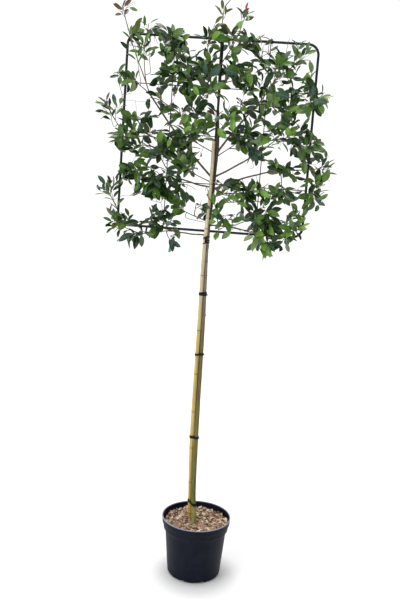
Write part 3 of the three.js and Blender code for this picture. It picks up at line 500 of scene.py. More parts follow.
def catmull_rom(corners):
    """A smooth centripetal line through its corners."""
    corners = [np.array(corner, float) for corner in corners]
    ends = [2 * corners[0] - corners[1], *corners, 2 * corners[-1] - corners[-2]]
    points = []
    for p0, p1, p2, p3 in zip(ends, ends[1:], ends[2:], ends[3:]):
        d0, d1, d2 = [math.sqrt(np.linalg.norm(b - a)) for a, b in ((p0, p1), (p1, p2), (p2, p3))]
        start = ((p1 - p0) / d0 - (p2 - p0) / (d0 + d1) + (p2 - p1) / d1) * d1
        end = ((p2 - p1) / d1 - (p3 - p1) / (d1 + d2) + (p3 - p2) / d2) * d1
        t = np.linspace(0, 1, 40, endpoint=False)[:, None]
        points.append(p1 + start * t + (3 * (p2 - p1) - 2 * start - end) * t ** 2
                      + (2 * (p1 - p2) + start + end) * t ** 3)
    return Line(np.concatenate([*points, [corners[-1]]]))


def bezier(*corners):
    """A Bezier curve of two or more corners."""
    t = np.linspace(0, 1, 61)[:, None]
    last = len(corners) - 1
    return Line(sum(math.comb(last, k) * t ** k * (1 - t) ** (last - k) * np.asarray(corner, float)
                    for k, corner in enumerate(corners)))


def unit(vectors):
    """The vectors, each made one long."""
    return vectors / np.linalg.norm(vectors, axis=-1, keepdims=True)


def limb(points, radii, sides, relief=0, swellings=(), closed=False):
    """Vertices and faces of a round limb through points: one radius or one at each point, relief over
    its skin, and swellings (place, size) where others grow out of it. A closed one joins its ends."""
    points = np.asarray(points, float)
    rows = len(points)
    runs = np.roll(points, -1, 0) - np.roll(points, 1, 0) if closed else np.gradient(points, axis=0)
    headings = unit(runs)
    across = [unit(np.cross(headings[0], (0.1, 1, 0.05)))]
    for heading in headings[1:]:
        across.append(unit(across[-1] - heading * np.dot(across[-1], heading)))
    across = np.array(across)
    other = np.cross(headings, across)
    angles = np.arange(sides) * 2 * math.pi / sides
    radial = across[:, None] * np.cos(angles)[:, None] + other[:, None] * np.sin(angles)[:, None]
    radius = np.broadcast_to(np.asarray(radii, float).reshape(-1, 1), (rows, sides)) + relief
    skin = points[:, None] + radial * radius[..., None]
    for place, size in swellings:
        away = np.linalg.norm(skin - place, axis=-1)
        radius = radius + SWELLING_RISE * size * np.exp(-(away / (SWELLING_REACH * size)) ** 2)
    skin = points[:, None] + radial * radius[..., None]
    grid = np.arange(rows * sides).reshape(rows, sides)
    upper = np.roll(grid, -1, 0) if closed else grid[1:]
    lower = grid if closed else grid[:-1]
    corners = [lower, np.roll(lower, -1, 1), np.roll(upper, -1, 1), upper]
    faces = np.stack(corners, -1).reshape(-1, 4).tolist()
    if not closed:
        faces += [grid[0][::-1].tolist(), grid[-1].tolist()]
    return skin.reshape(-1, 3), faces


def joined(parts):
    """One list of vertices and one of faces from many."""
    vertices, faces, first = [], [], 0
    for some_vertices, some_faces in parts:
        vertices.append(np.asarray(some_vertices, float))
        faces += [[first + corner for corner in face] for face in some_faces]
        first += len(some_vertices)
    return np.concatenate(vertices), faces


def hump(places, middle, width):
    """A smooth rise from 0 to 1 and back round the middle."""
    return np.exp(-((places - middle) / width) ** 2)


def ripples(rows, sides, step, seed, around, along, depth):
    """Relief of a limb's skin: soft random waves round it and along it, in millimetres."""
    draw = np.random.default_rng(seed)
    length, angle = np.arange(rows)[:, None] * step, np.arange(sides)[None] * 2 * math.pi / sides
    waves = 14
    total = np.zeros((rows, sides))
    for _ in range(waves):
        turns, rate = draw.integers(*around), draw.uniform(*along)
        total += np.sin(turns * angle + rate * length + draw.uniform(0, 2 * math.pi))
    return depth * total / math.sqrt(waves)


def bark(name, tones, streak, depth):
    """Bark whose colour goes through (height in metres, colour, other colour) tones up the tree."""
    material, tree, surface = new_material(name, 0.72)
    height = height_of(tree)
    colour = None
    for (start, *_), (end, tone, other) in zip([tones[0], *tones], tones):
        patch, grain = mottled(tree, tone, other, streak, 1.6 * MM, (1, 1, 0.12))
        if colour is None:
            colour = patch
        else:
            colour = between(tree, ranged(tree, height, start, end), colour, patch)
    specks = add_node(tree, "ShaderNodeTexNoise", {
        "Vector": object_place(tree), "Scale": 260, "Detail": 2}).outputs["Fac"]
    dark = ranged(tree, specks, 0.64, 0.7, 0.7)
    tree.links.new(between(tree, dark, colour, (0.045, 0.032, 0.02, 1)), surface["Base Color"])
    bump(tree, surface, grain, 0.6, depth)
    return material


def stem_radius(heights):
    return np.interp(heights, *zip(*STEM_TAPER))


STEM = catmull_rom(STEM_LINE)
STEM_BARK = bark("stem_bark", [
    (0.44, (0.34, 0.36, 0.12), (0.2, 0.22, 0.06)), (0.5, (0.12, 0.14, 0.018), (0.075, 0.085, 0.012)),
    (0.95, (0.2, 0.17, 0.03), (0.11, 0.09, 0.02)), (1.5, (0.19, 0.14, 0.055), (0.1, 0.07, 0.03)),
    (2.1, (0.31, 0.26, 0.19), (0.19, 0.155, 0.115)),
    # painted shade: from here up the stem is darkened where the crown shades it
    (2.4, (0.09, 0.075, 0.035), (0.035, 0.028, 0.016)), (2.9, (0.07, 0.048, 0.028), (0.026, 0.018, 0.012)),
], 9 * MM, 0.5 * MM)


def healed_stub():
    material, tree, surface = new_material("healed_stub", 0.8)
    colour, _ = mottled(tree, (0.05, 0.032, 0.02), (0.11, 0.075, 0.045), 5 * MM, 1 * MM)
    tree.links.new(colour, surface["Base Color"])
    return material


def collars(line, carried):
    """Where the boughs that a limb carries leave it, and their radii there."""
    return [(line.at(line.at_height(height)), radii[0])
            for _, carrier, height, _, _, radii in BOUGHS if carrier == carried]


stem_points = STEM.even(STEM_ROW)
stem_points = stem_points[stem_points[:, 2] > BARE_FROM]
stem_rows = len(stem_points)
relief = ripples(stem_rows, STEM_SIDES, STEM_ROW, 5, (1, 7), (0.004, 0.06), 0.22)
relief += SCAR_RISE * hump(stem_points[:, 2:] % SCAR_SPACING, SCAR_SPACING / 2, SCAR_WIDTH)
skin = limb(stem_points, stem_radius(stem_points[:, 2]), STEM_SIDES, relief, collars(STEM, "stem"))
stem_parts = [skin]
for height, degrees, length, radius in STUBS:
    centre, turn = STEM.at(STEM.at_height(height)), math.radians(degrees)
    out = np.array((math.sin(turn), -math.cos(turn), 0.35))
    shares = np.linspace(0.55, 1, len(STUB_SHAPE))
    spine = centre + out * (shares * (stem_radius(height) + length))[:, None]
    stem_parts.append(limb(spine, radius * np.array(STUB_SHAPE), STUB_SIDES))
vertices, faces = joined(stem_parts)
slots = [0] * len(skin[1]) + [1] * (len(faces) - len(skin[1]))
stem_skin = make_piece("stem_skin", vertices * MM, faces, [STEM_BARK, healed_stub()], slots)
keep(stem_skin, "stem_bark", "stem")

# ------------------------------------------------------------------ cane
# A bamboo cane pushed into the pot behind the stem and tied along it. It is straw-yellow, with
# a raised ring and a dark sheath scar at each node, and its sawn top is hollow.
CANE_LINE = [(-45.5, 25, 330.3), (-49, 14, 470), (-59.6, -19, 900), (-59, -30, 1100), (-52, -37, 1730),
             (-47, -40, 2180), (-39, -42.5, 2340), (-28.7, -41.5, 2520), (-25.2, -39, 2680),
             (-24, -32, 2870)]
CANE_RADII = (13.2, 10.5)
CANE_FROM = 350.3
CANE_NODES = (400, 630, 876, 1127, 1383, 1672, 2030, 2330, 2610)
NODE_RELIEF = ((0, 1, 4.5), (-7, -0.7, 3))  # place, rise, width: a node's ring and the waist below it
NODE_SCAR = (-5.5, 0.85, 3.2)  # place, strength and width
CANE_ROW = 4
CANE_SIDES = 28
BORE_SHARE, BORE_DEPTH = 0.55, 25


def bamboo():
    material, tree, surface = new_material("bamboo", 0.42, coat=0.1)
    height = height_of(tree)
    low, grain = mottled(tree, (0.62, 0.45, 0.1), (0.43, 0.28, 0.05), 12 * MM, 1.1 * MM, (1, 1, 0.05))
    middle, _ = mottled(tree, (0.62, 0.48, 0.13), (0.42, 0.31, 0.065), 10 * MM, 1.1 * MM, (1, 1, 0.05))
    top, _ = mottled(tree, (0.74, 0.63, 0.43), (0.48, 0.39, 0.24), 10 * MM, 1.1 * MM, (1, 1, 0.06))
    colour = between(tree, ranged(tree, height, 0.7, 1.2), low, middle)
    colour = between(tree, ranged(tree, height, 1.6, 2.1), colour, top)
    ring = add_node(tree, "ShaderNodeAttribute", attribute_name="sheath_scar").outputs["Fac"]
    spots = add_node(tree, "ShaderNodeTexNoise", {
        "Vector": object_place(tree), "Scale": 45, "Detail": 5, "Roughness": 0.7}).outputs["Fac"]
    stained = between(tree, ranged(tree, spots, 0.6, 0.72, 0.6), colour, (0.16, 0.1, 0.04, 1))
    tree.links.new(between(tree, ring, stained, (0.07, 0.04, 0.02, 1)), surface["Base Color"])
    bump(tree, surface, grain, 0.3, 0.3 * MM)
    return material


CANE = catmull_rom(CANE_LINE)
cane_points = CANE.even(CANE_ROW)
cane_points = cane_points[cane_points[:, 2] > BARE_FROM]
cane_heights = cane_points[:, 2]


def cane_radius(heights):
    return np.interp(heights, (CANE_FROM, cane_heights[-1]), CANE_RADII)


cane_radii = cane_radius(cane_heights)
scar_mask = np.zeros(len(cane_points))
for node in CANE_NODES:
    for place, rise, width in NODE_RELIEF:
        cane_radii += rise * hump(cane_heights, node + place, width)
    place, strength, width = NODE_SCAR
    scar_mask += strength * hump(cane_heights, node + place, width)
relief = ripples(len(cane_points), CANE_SIDES, CANE_ROW, 9, (1, 4), (0.002, 0.02), 0.12)
vertices, faces = limb(cane_points, cane_radii, CANE_SIDES, relief)
rim = vertices[-CANE_SIDES:]
middle = rim.mean(0)
mouth = middle + (rim - middle) * BORE_SHARE
first = len(vertices)
vertices = np.concatenate([vertices, mouth, mouth - (0, 0, BORE_DEPTH)])
faces.pop()
for k in range(CANE_SIDES):
    around = (k + 1) % CANE_SIDES
    faces.append([first - CANE_SIDES + k, first - CANE_SIDES + around, first + around, first + k])
    faces.append([first + k, first + around, first + CANE_SIDES + around, first + CANE_SIDES + k])
faces.append([first + CANE_SIDES + k for k in range(CANE_SIDES)])
cane_pole = make_piece("cane_pole", vertices * MM, faces, [bamboo()])
mask = cane_pole.data.attributes.new("sheath_scar", "FLOAT", "POINT")
on_skin = np.repeat(scar_mask, CANE_SIDES)
mask.data.foreach_set("value", np.concatenate([on_skin, np.zeros(len(vertices) - len(on_skin))]))
keep(cane_pole, "bamboo", "cane")

# ------------------------------------------------------------------ training frame
# One steel tube bent round into a square, with a tube welded up its middle that carries on
# below as a spike, and a grid of thin rods welded across it. All of it is powder-coated.
FRAME_SIZE = 1192
TUBE_RADIUS = 8
TUBE_WALL = 1.5
BEND_RADIUS = 65
FRAME_PLACE = (-24, -1.3, 2309)
FRAME_LEAN = math.radians(1.02)
RAIL_DEPTH = 16.3
ROD_RADIUS = 3
CROSS_ROD_DEPTH = 10.8
UPRIGHT_ROD_DEPTH = 16.1
SPIKE_LENGTH = 112
SPIKE_HEAD = 12
TUBE_SIDES = 24
BEND_STEPS = 16
OPEN_DEPTH = 40  # how far one can look into a sawn end
SAWN_EDGE = 0.4
ROD_HEIGHTS = (0.25, 0.5, 0.75)  # shares of the frame's height
ROD_SIDES = 12
ROD_STEP = 150
WELD_RADIUS, WELD_SQUASH = 4.2 * MM, (1.15, 0.8, 1.15)
WELD_WAVES, WELD_ROUGHNESS = 300, 2.5 * MM


def on_frame(x, y, z):
    """A place given in the leaning frame's own directions, in the plant's."""
    sine, cosine = math.sin(FRAME_LEAN), math.cos(FRAME_LEAN)
    return np.array((x * cosine + z * sine, y, z * cosine - x * sine)) + FRAME_PLACE


def make_weld_beads():
    """A tree that sets a small rough bead of weld on each point."""
    tree, given = new_modifier_tree("weld_beads", [
        ("Radius", "Float"), ("Squash", "Vector"), ("Roughness", "Float"), ("Material", "Material")])
    bead = add_node(tree, "GeometryNodeMeshIcoSphere", {"Radius": given["Radius"], "Subdivisions": 2})
    set_on = add_node(tree, "GeometryNodeInstanceOnPoints", {
        "Points": given["Geometry"], "Instance": bead.outputs["Mesh"], "Scale": given["Squash"]})
    real = add_node(tree, "GeometryNodeRealizeInstances", {"Geometry": set_on.outputs["Instances"]})
    rough = roughened(tree, real.outputs["Geometry"], WELD_WAVES, given["Roughness"])
    finish_tree(tree, rough, given["Material"])
    return tree


POWDER_COAT = mottled_material("powder_coat", 0.45, (0.013, 0.017, 0.028), (0.022, 0.027, 0.04),
                               40 * MM, 1 * MM, 0.12, 0.2 * MM, 0.25)
half = FRAME_SIZE / 2
hoop_points = []
for quarter, (side, height) in enumerate([(1, FRAME_SIZE), (-1, FRAME_SIZE), (-1, 0), (1, 0)]):
    centre_x = side * (half - BEND_RADIUS)
    centre_z = height + (BEND_RADIUS if height == 0 else -BEND_RADIUS)
    for step in range(BEND_STEPS + 1):
        angle = (quarter + step / BEND_STEPS) * math.pi / 2
        hoop_points.append(on_frame(centre_x + BEND_RADIUS * math.cos(angle), RAIL_DEPTH,
                                    centre_z + BEND_RADIUS * math.sin(angle)))
vertices, faces = limb(hoop_points, TUBE_RADIUS, TUBE_SIDES, closed=True)
frame_hoop = make_piece("frame_hoop", vertices * MM, faces, [POWDER_COAT])
keep(frame_hoop, "black_steel", "frame_left_post", "frame_right_post", "frame_bottom_rail", "frame_top_rail",
     "frame_bottom_left_bend", "frame_top_left_bend", "frame_bottom_right_bend", "frame_top_right_bend")


def open_tube(start, end):
    """A tube whose ends are sawn open, as one closed skin: down the outside, in, and back up the bore."""
    bore = TUBE_RADIUS - TUBE_WALL
    deep = OPEN_DEPTH / np.linalg.norm(end - start)
    edge = 0.0005
    one_end = [(deep, bore), (edge, bore), (0, bore + SAWN_EDGE), (0, bore + TUBE_WALL / 2),
               (0, TUBE_RADIUS - SAWN_EDGE), (edge, TUBE_RADIUS)]
    section = one_end + [(1 - share, radius) for share, radius in reversed(one_end)]
    heading = unit(end - start)
    across = unit(np.cross(heading, (0, 1, 0)))
    other = np.cross(heading, across)
    angles = np.arange(TUBE_SIDES) * 2 * math.pi / TUBE_SIDES
    skin = np.concatenate([start + (end - start) * share + radius * (
        np.outer(np.cos(angles), across) + np.outer(np.sin(angles), other))
        for share, radius in section])
    grid = np.arange(len(skin)).reshape(-1, TUBE_SIDES)
    faces = np.stack([grid[:-1], np.roll(grid[:-1], -1, 1), np.roll(grid[1:], -1, 1), grid[1:]], -1)
    return skin, faces.reshape(-1, 4).tolist() + [grid[0][::-1].tolist(), grid[-1].tolist()]


vertices, faces = open_tube(on_frame(0, 0, -SPIKE_LENGTH), on_frame(0, 0, FRAME_SIZE + SPIKE_HEAD))
frame_spine = make_piece("frame_spine", vertices * MM, faces, [POWDER_COAT])
keep(frame_spine, "black_steel", "frame_centre_tube")

rods, welds = [], []
post_face = math.sqrt(TUBE_RADIUS ** 2 - (RAIL_DEPTH - CROSS_ROD_DEPTH - ROD_RADIUS) ** 2)
reach = half - post_face
crossing = (CROSS_ROD_DEPTH + UPRIGHT_ROD_DEPTH) / 2
for height in [share * FRAME_SIZE for share in ROD_HEIGHTS]:
    rods.append([on_frame(side * reach, CROSS_ROD_DEPTH, height) for side in (-1, 1)])
    welds += [on_frame(side * (reach - 1), CROSS_ROD_DEPTH + 1, height) for side in (-1, 1)]
    welds += [on_frame(side * half / 2, crossing, height) for side in (-1, 1)]
    welds.append(on_frame(0, TUBE_RADIUS, height))
for x in (-half / 2, half / 2):
    ends = [on_frame(x, UPRIGHT_ROD_DEPTH, end) for end in (TUBE_RADIUS, FRAME_SIZE - TUBE_RADIUS)]
    rods.append(ends)
    welds += ends
welds += [on_frame(0, TUBE_RADIUS + 0.3, height) for height in (0, FRAME_SIZE)]
vertices, faces = joined([limb(Line(ends).even(ROD_STEP), ROD_RADIUS, ROD_SIDES) for ends in rods])
frame_rods = make_piece("frame_rods", vertices * MM, faces, [POWDER_COAT])
keep(frame_rods, "black_steel", "frame_low_rod", "frame_middle_rod", "frame_high_rod",
     "frame_left_upright", "frame_right_upright")
frame_welds = make_piece("frame_welds", np.array(welds) * MM, [])
grown(frame_welds, make_weld_beads(), {
    "Radius": WELD_RADIUS, "Squash": WELD_SQUASH, "Roughness": WELD_ROUGHNESS, "Material": POWDER_COAT})
keep(frame_welds, "black_steel")

# ------------------------------------------------------------------ ties
# Black rubber ties: flat straps drawn round the stem and the cane, with a knot at the side and a
# short tail, and a wide wrap that binds both to the frame's centre tube. Thin ties hold shoots
# to the top rail, and a string runs from the left post to the main bough.
TIES = [  # name, height, strap height, windings, slope across
    ("tie_1", 486, 20, 1, -0.22), ("tie_2", 945, 19, 1, -0.1), ("tie_3", 1507, 14, 1, 0.03),
    ("tie_4", 1905, 11, 2, -0.08),
]
FRAME_TIE = [(2271, 6, 0.1), (2254, 5.5, -0.3), (2233, 6, 0.22)]  # height, strap height, slope of windings
FRAME_KNOTS = [(2264, 12, 24), (2243, 11, 50)]  # height, size, tail length
STRAP_CLEARANCE = 0.6
STRAP_THICKNESS = 2.2
WINDING_GAP = 0.6
KNOT_SIZE, KNOT_TAIL, TAIL_RADIUS = 4.2, 11, 1.5
RAIL_LOOP_RADIUS, RAIL_LOOP_STRAND = 9.4, 1.3
STRING_LOOP_RADIUS, STRING_RADIUS = 9.2, 1.1
LOOP_STEPS = 24
RAIL_TIES = [(-452, 58, 0.2), (284, 30, -0.3), (430, 62, 0.15)]  # x, tail length, how it swings
STRING = [(-622, -4, 3103), (-612, -14, 3101), (-560, -16, 3098), (-500, -15, 3095), (-452, -17, 3094),
          (-436, -20, 3098)]


RUBBER = mottled_material("tie_rubber", 0.62, (0.006, 0.006, 0.007), (0.014, 0.014, 0.015),
                          10 * MM, 0.8 * MM, 0.5, 0.3 * MM, 0.15)


def around(circles, offset):
    """Points of a band drawn tight round circles (x, y, radius), evenly spaced."""
    rim = [(x + (radius + offset) * math.cos(angle), y + (radius + offset) * math.sin(angle))
           for x, y, radius in circles for angle in np.linspace(0, 2 * math.pi, 48, endpoint=False)]
    hull = [rim[i] for i in geometry.convex_hull_2d([Vector(point) for point in rim])]
    loop = Line([(*point, 0) for point in hull + hull[:1]])
    return loop.at(np.linspace(0, 1, 72, endpoint=False))[:, :2]


def strap(circles, height, strap_height, slope, seed):
    """A closed strap with rounded edges, its line waving a little."""
    line = around(circles, STRAP_CLEARANCE + STRAP_THICKNESS / 2)
    middle = line.mean(0)
    draw = np.random.default_rng(seed)
    phase = draw.uniform(0, 2 * math.pi)
    turn = np.linspace(0, 2 * math.pi, len(line), endpoint=False)
    heights = height + slope * (line[:, 0] - middle[0]) + 0.5 * np.sin(3 * turn + phase)
    out = unit(np.roll(line, -1, 0) - np.roll(line, 1, 0))[:, ::-1] * (1, -1)
    section = [(0.5 * math.copysign(abs(math.cos(a)) ** 0.5, math.cos(a)),
                0.5 * math.copysign(abs(math.sin(a)) ** 0.35, math.sin(a)))
               for a in np.linspace(0, 2 * math.pi, 12, endpoint=False)]
    skin = np.array([[(*(place + normal * across * STRAP_THICKNESS), z + up * strap_height)
                      for across, up in section] for place, normal, z in zip(line, out, heights)])
    rows, sides = skin.shape[:2]
    grid = np.arange(rows * sides).reshape(rows, sides)
    above = np.roll(grid, -1, 0)
    faces = np.stack([grid, above, np.roll(above, -1, 1), np.roll(grid, -1, 1)], -1)
    return skin.reshape(-1, 3), faces.reshape(-1, 4).tolist()


def stem_and_cane_at(height):
    """Circles of the stem and the cane where they pass a height."""
    found = []
    for line, radius in ((STEM, stem_radius), (CANE, cane_radius)):
        x, y, _ = line.at(line.at_height(height))
        found.append((x, y, float(radius(height)) + 0.3))
    return found


def farthest(circles, forward):
    """The place on a strap farthest to the right, and forward by this share."""
    outside = around(circles, STRAP_CLEARANCE + STRAP_THICKNESS)
    return max(outside, key=lambda place: place[0] - forward * place[1])


def knot(place, out, size, tail):
    """A lump of knotted strap at a place, and the tail that hangs from it."""
    place, out = np.asarray(place, float), np.asarray(out, float)
    shares = np.linspace(-1, 1, 9)
    lump = limb(place + np.outer(shares * size, (0.25, 0, 1)) + out * 1.5,
                size * 0.75 * np.sqrt(1.02 - shares ** 2), 10, ripples(9, 10, 1, 3, (1, 3), (0.5, 1), 0.4))
    droop = bezier(place + out * 2, place + out * (0.55 * tail) + (0, 0, 2),
                   place + out * (0.6 * tail) - (0, 0, tail))
    return [lump, limb(droop.even(3), TAIL_RADIUS, 6)]


for name, height, strap_height, windings, slope in TIES:
    circles = stem_and_cane_at(height - strap_height / 2) + stem_and_cane_at(height + strap_height / 2)
    parts = []
    for winding in range(windings):
        rise = (winding - (windings - 1) / 2) * (strap_height + WINDING_GAP)
        tilt = slope + 0.12 * winding
        parts.append(strap(circles, height + rise, strap_height, tilt, int(height) + winding))
    x, y = farthest(circles, 0.4)
    parts += knot((x, y, height + slope * 20), (0.9, -0.35, 0), KNOT_SIZE, KNOT_TAIL)
    vertices, faces = joined(parts)
    tie = make_piece(name + "_strap", vertices * MM, faces, [RUBBER])
    keep(tie, "tie_rubber", name)

parts = []
for height, strap_height, slope in FRAME_TIE:
    tube_x, tube_y, _ = on_frame(0, 0, height - FRAME_PLACE[2])
    circles = [*stem_and_cane_at(height), (tube_x, tube_y, TUBE_RADIUS)]
    parts.append(strap(circles, height, strap_height, slope, int(height)))
x, y = farthest(circles, 0.9)
for height, size, tail in FRAME_KNOTS:
    parts += knot((x - 4, y - 3, height), (0.3, -0.75, 0), size, tail)
vertices, faces = joined(parts)
frame_wrap = make_piece("frame_tie_wrap", vertices * MM, faces, [RUBBER])
keep(frame_wrap, "tie_rubber", "frame_tie")

parts = []
for x, tail, swing in RAIL_TIES:
    centre = on_frame(x - FRAME_PLACE[0], RAIL_DEPTH, FRAME_SIZE)
    turn = np.linspace(0, 2 * math.pi, LOOP_STEPS, endpoint=False)
    for winding in (-1.4, 1.4):
        ring = np.stack([winding + 0.8 * np.sin(turn), RAIL_LOOP_RADIUS * np.cos(turn),
                         RAIL_LOOP_RADIUS * np.sin(turn)], 1)
        parts.append(limb(centre + ring, RAIL_LOOP_STRAND, 6, closed=True))
    start = centre + (0, -9.5, -3)
    for side in (-1, 1):
        end = start + (tail * (swing + 0.22 * side), -4 - 2 * side, -tail * (0.9 + 0.1 * side))
        points = bezier(start, start + (3 * side, -6, -0.25 * tail), end).even(4)
        parts.append(limb(points, np.linspace(1.8, 1.1, len(points)), 6))
vertices, faces = joined(parts)
rail_ties = make_piece("rail_ties", vertices * MM, faces, [RUBBER])
keep(rail_ties, "tie_rubber")

jute = mottled_material("jute_string", 0.9, (0.3, 0.25, 0.18), (0.17, 0.13, 0.09),
                        3 * MM, 0.6 * MM, 0.6, 0.4 * MM)
string_points = catmull_rom(STRING).even(3)
twist = ripples(len(string_points), 6, 3, 2, (1, 3), (0.8, 1.4), 0.15)
post = on_frame(-half, RAIL_DEPTH, STRING[0][2] - FRAME_PLACE[2])
turn = np.linspace(0, 2 * math.pi, 28, endpoint=False)
loop = np.stack([STRING_LOOP_RADIUS * np.cos(turn), STRING_LOOP_RADIUS * np.sin(turn), np.sin(turn)], 1)
vertices, faces = joined([limb(string_points, STRING_RADIUS, 6, twist),
                          limb(post + loop, STRING_RADIUS, 6, closed=True)])
string_tie = make_piece("string_tie", vertices * MM, faces, [jute])
keep(string_tie, "tie_rubber")

# ------------------------------------------------------------------ boughs
# The main limbs, trained out over the frame: each one tapers, wavers a little, and swells into a collar
# where it leaves its carrier. Their thin bark is brown with dark specks.
BOUGH_BARK = bark("bough_bark", [
    (2.3, (0.16, 0.115, 0.08), (0.08, 0.055, 0.04)), (3.2, (0.13, 0.085, 0.065), (0.07, 0.045, 0.035)),
], 5 * MM, 0.4 * MM)
BOUGH_ROW, BOUGH_SIDES = 5, 16
BUD_SPACING, BUD_WIDTH, BUD_RISE = 43, 4, 0.5
COLLAR_RISE, COLLAR_LENGTH = 0.45, 17
WAVER = 1.6
BEHIND_CANE = 2.5
carriers = {"stem": STEM}
for number, (name, carrier, height, tip, bow, radii) in enumerate(BOUGHS):
    start = carriers[carrier].at(carriers[carrier].at_height(height))
    if carrier == "stem" and tip[0] < start[0]:
        start = start + (0, BEHIND_CANE, 0)
    middle = (start + tip) / 2 - (0, 0, 2 * bow)
    carriers[name] = bezier(start, middle, tip)
    points = carriers[name].even(BOUGH_ROW)
    shares = np.linspace(0, 1, len(points))
    waver = WAVER * np.sin(shares * 14 + number) * np.sin(math.pi * shares)
    points = points + np.outer(waver, (0, 1, 0)) + np.outer(waver[::-1] * 0.7, (0, 0, 1))
    thickness = radii[0] + (radii[1] - radii[0]) * shares
    thickness += COLLAR_RISE * radii[0] * hump(shares * carriers[name].length, 0, COLLAR_LENGTH)
    relief = ripples(len(points), BOUGH_SIDES, BOUGH_ROW, 20 + number, (1, 5), (0.03, 0.25), 0.22)
    relief += BUD_RISE * hump(np.arange(len(points)) * BOUGH_ROW % BUD_SPACING, 20, BUD_WIDTH)[:, None]
    vertices, faces = limb(points, thickness, BOUGH_SIDES, relief, collars(carriers[name], name))
    bough = make_piece(name + "_skin", vertices * MM, faces, [BOUGH_BARK])
    keep(bough, "bough_bark", name)

# ------------------------------------------------------------------ crown: twigs
# Each mass of foliage grows from one root: a stem runs to the middle of each of its lobes, shoots
# go out from that over the lobe's inside, and finer twigs fork from the shoots. Single long
# shoots and short twigs from the nearest fork then fill the square that the crown is trained on.
CROWN_Y = -8
MASSES = [  # name; limb and place round its tip in degrees, or height on the stem; and lobes:
    # middle x and z, half width, half height, then the lobe it forks from and where along it
    ("leader_shoot", ("stem", None), [(-12, 3652, 60, 106)]),
    ("top_right_shoot", 3330, [(80, 3500, 90, 70), (128, 3650, 64, 74, 0, 0.9)]),
    ("heart_right_foliage", 3175, [(48, 3300, 72, 86), (150, 3275, 68, 64, 0, 0.35)]),
    ("heart_left_foliage", 3120, [
        (-95, 3300, 90, 100), (-60, 3170, 84, 72, 0, 0.25), (-95, 3490, 88, 80, 0, 0.8)]),
    ("left_heart_foliage", ("left_upper_bough", 180), [(-235, 3270, 86, 100), (-350, 3280, 64, 66, 0, 0.3)]),
    ("left_top_shoot", ("left_upper_bough", 0), [(-320, 3480, 90, 90), (-215, 3415, 62, 54, 0, 0.6)]),
    ("left_corner_shoot", ("left_main_bough", 0), [
        (-495, 3430, 80, 68), (-470, 3560, 74, 56, 0, 0.9), (-585, 3500, 54, 62, 0, 0.2),
        (-635, 3665, 84, 56, 2, 0.9)]),
    ("left_outer_shoot", ("left_main_bough", 180), [(-545, 3230, 62, 54), (-650, 3262, 60, 56, 0, 0.7)]),
    ("left_side_foliage", ("left_side_bough", 180), [
        (-597, 2873, 104, 72), (-702, 3055, 80, 92, 0, 0.7), (-545, 3000, 80, 50, 0, 0.4)]),
    ("left_inner_foliage", ("left_side_bough", 0), [(-460, 2900, 74, 54), (-470, 3000, 62, 64, 0, 0.6)]),
    ("left_middle_foliage", 2790, [
        (-185, 2900, 120, 90), (-250, 3050, 94, 56, 0, 0.85), (-385, 3125, 56, 72, 1, 0.8),
        (-135, 3045, 80, 62, 0, 0.7)]),
    ("left_arm_foliage", ("left_low_bough", 0), [(-375, 2800, 135, 64)]),
    ("left_hanging_foliage", ("left_low_bough", 180), [
        (-375, 2620, 120, 125), (-560, 2665, 76, 52, 0, 0.7)]),
    ("left_under_foliage", 2608, [(-195, 2705, 90, 86)]),
    ("left_low_foliage", 2365, [(-235, 2460, 88, 60), (-115, 2470, 72, 56, 0, 0.4)]),
    ("left_foot_foliage", ("left_rail_bough", 180), [
        (-500, 2275, 88, 76), (-610, 2330, 95, 80, 0, 0.8), (-630, 2440, 64, 62, 1, 0.6),
        (-692, 2550, 82, 86, 2, 0.8), (-262, 2232, 46, 52, 0, 0.12)]),
    ("left_rail_foliage", ("left_rail_bough", 0), [(-400, 2345, 86, 86), (-290, 2350, 70, 66, 0, 0.25)]),
    ("right_foot_foliage", 2400, [(60, 2410, 84, 86), (40, 2300, 46, 50, 0, 0.4)]),
    ("right_low_foliage", 2520, [(75, 2560, 92, 74), (205, 2565, 86, 72, 0, 0.7)]),
    ("right_rail_foliage", ("right_rail_bough", 0), [(310, 2415, 112, 104), (310, 2260, 96, 92, 0, 0.25)]),
    ("right_corner_foliage", ("right_rail_bough", 180), [(510, 2380, 90, 92), (470, 2270, 56, 52, 0, 0.8)]),
    ("right_outer_foliage", ("right_low_bough", 180), [(431, 2560, 86, 74), (626, 2581, 94, 98, 0, 0.6)]),
    ("right_arm_foliage", ("right_low_bough", 0), [(440, 2715, 104, 62), (684, 2756, 84, 82, 0, 0.8)]),
    ("right_side_foliage", ("right_middle_bough", None), [
        (380, 2920, 105, 74), (585, 2870, 98, 82, 0, 0.7), (570, 2770, 72, 58, 1, 0.5)]),
    ("right_inner_foliage", 2920, [(66, 2990, 66, 64), (140, 3095, 78, 56, 0, 0.7)]),
    ("right_heart_foliage", 2775, [(165, 2915, 118, 92), (225, 2824, 76, 60, 0, 0.4)]),
    ("right_upper_foliage", ("right_upper_bough", 180), [
        (305, 3120, 100, 80), (440, 3090, 88, 90, 0, 0.8), (590, 3150, 100, 98, 1, 0.7)]),
    ("right_top_foliage", ("right_upper_bough", 0), [
        (365, 3340, 88, 98), (225, 3420, 64, 92, 0, 0.5), (480, 3395, 76, 88, 0, 0.6)]),
]
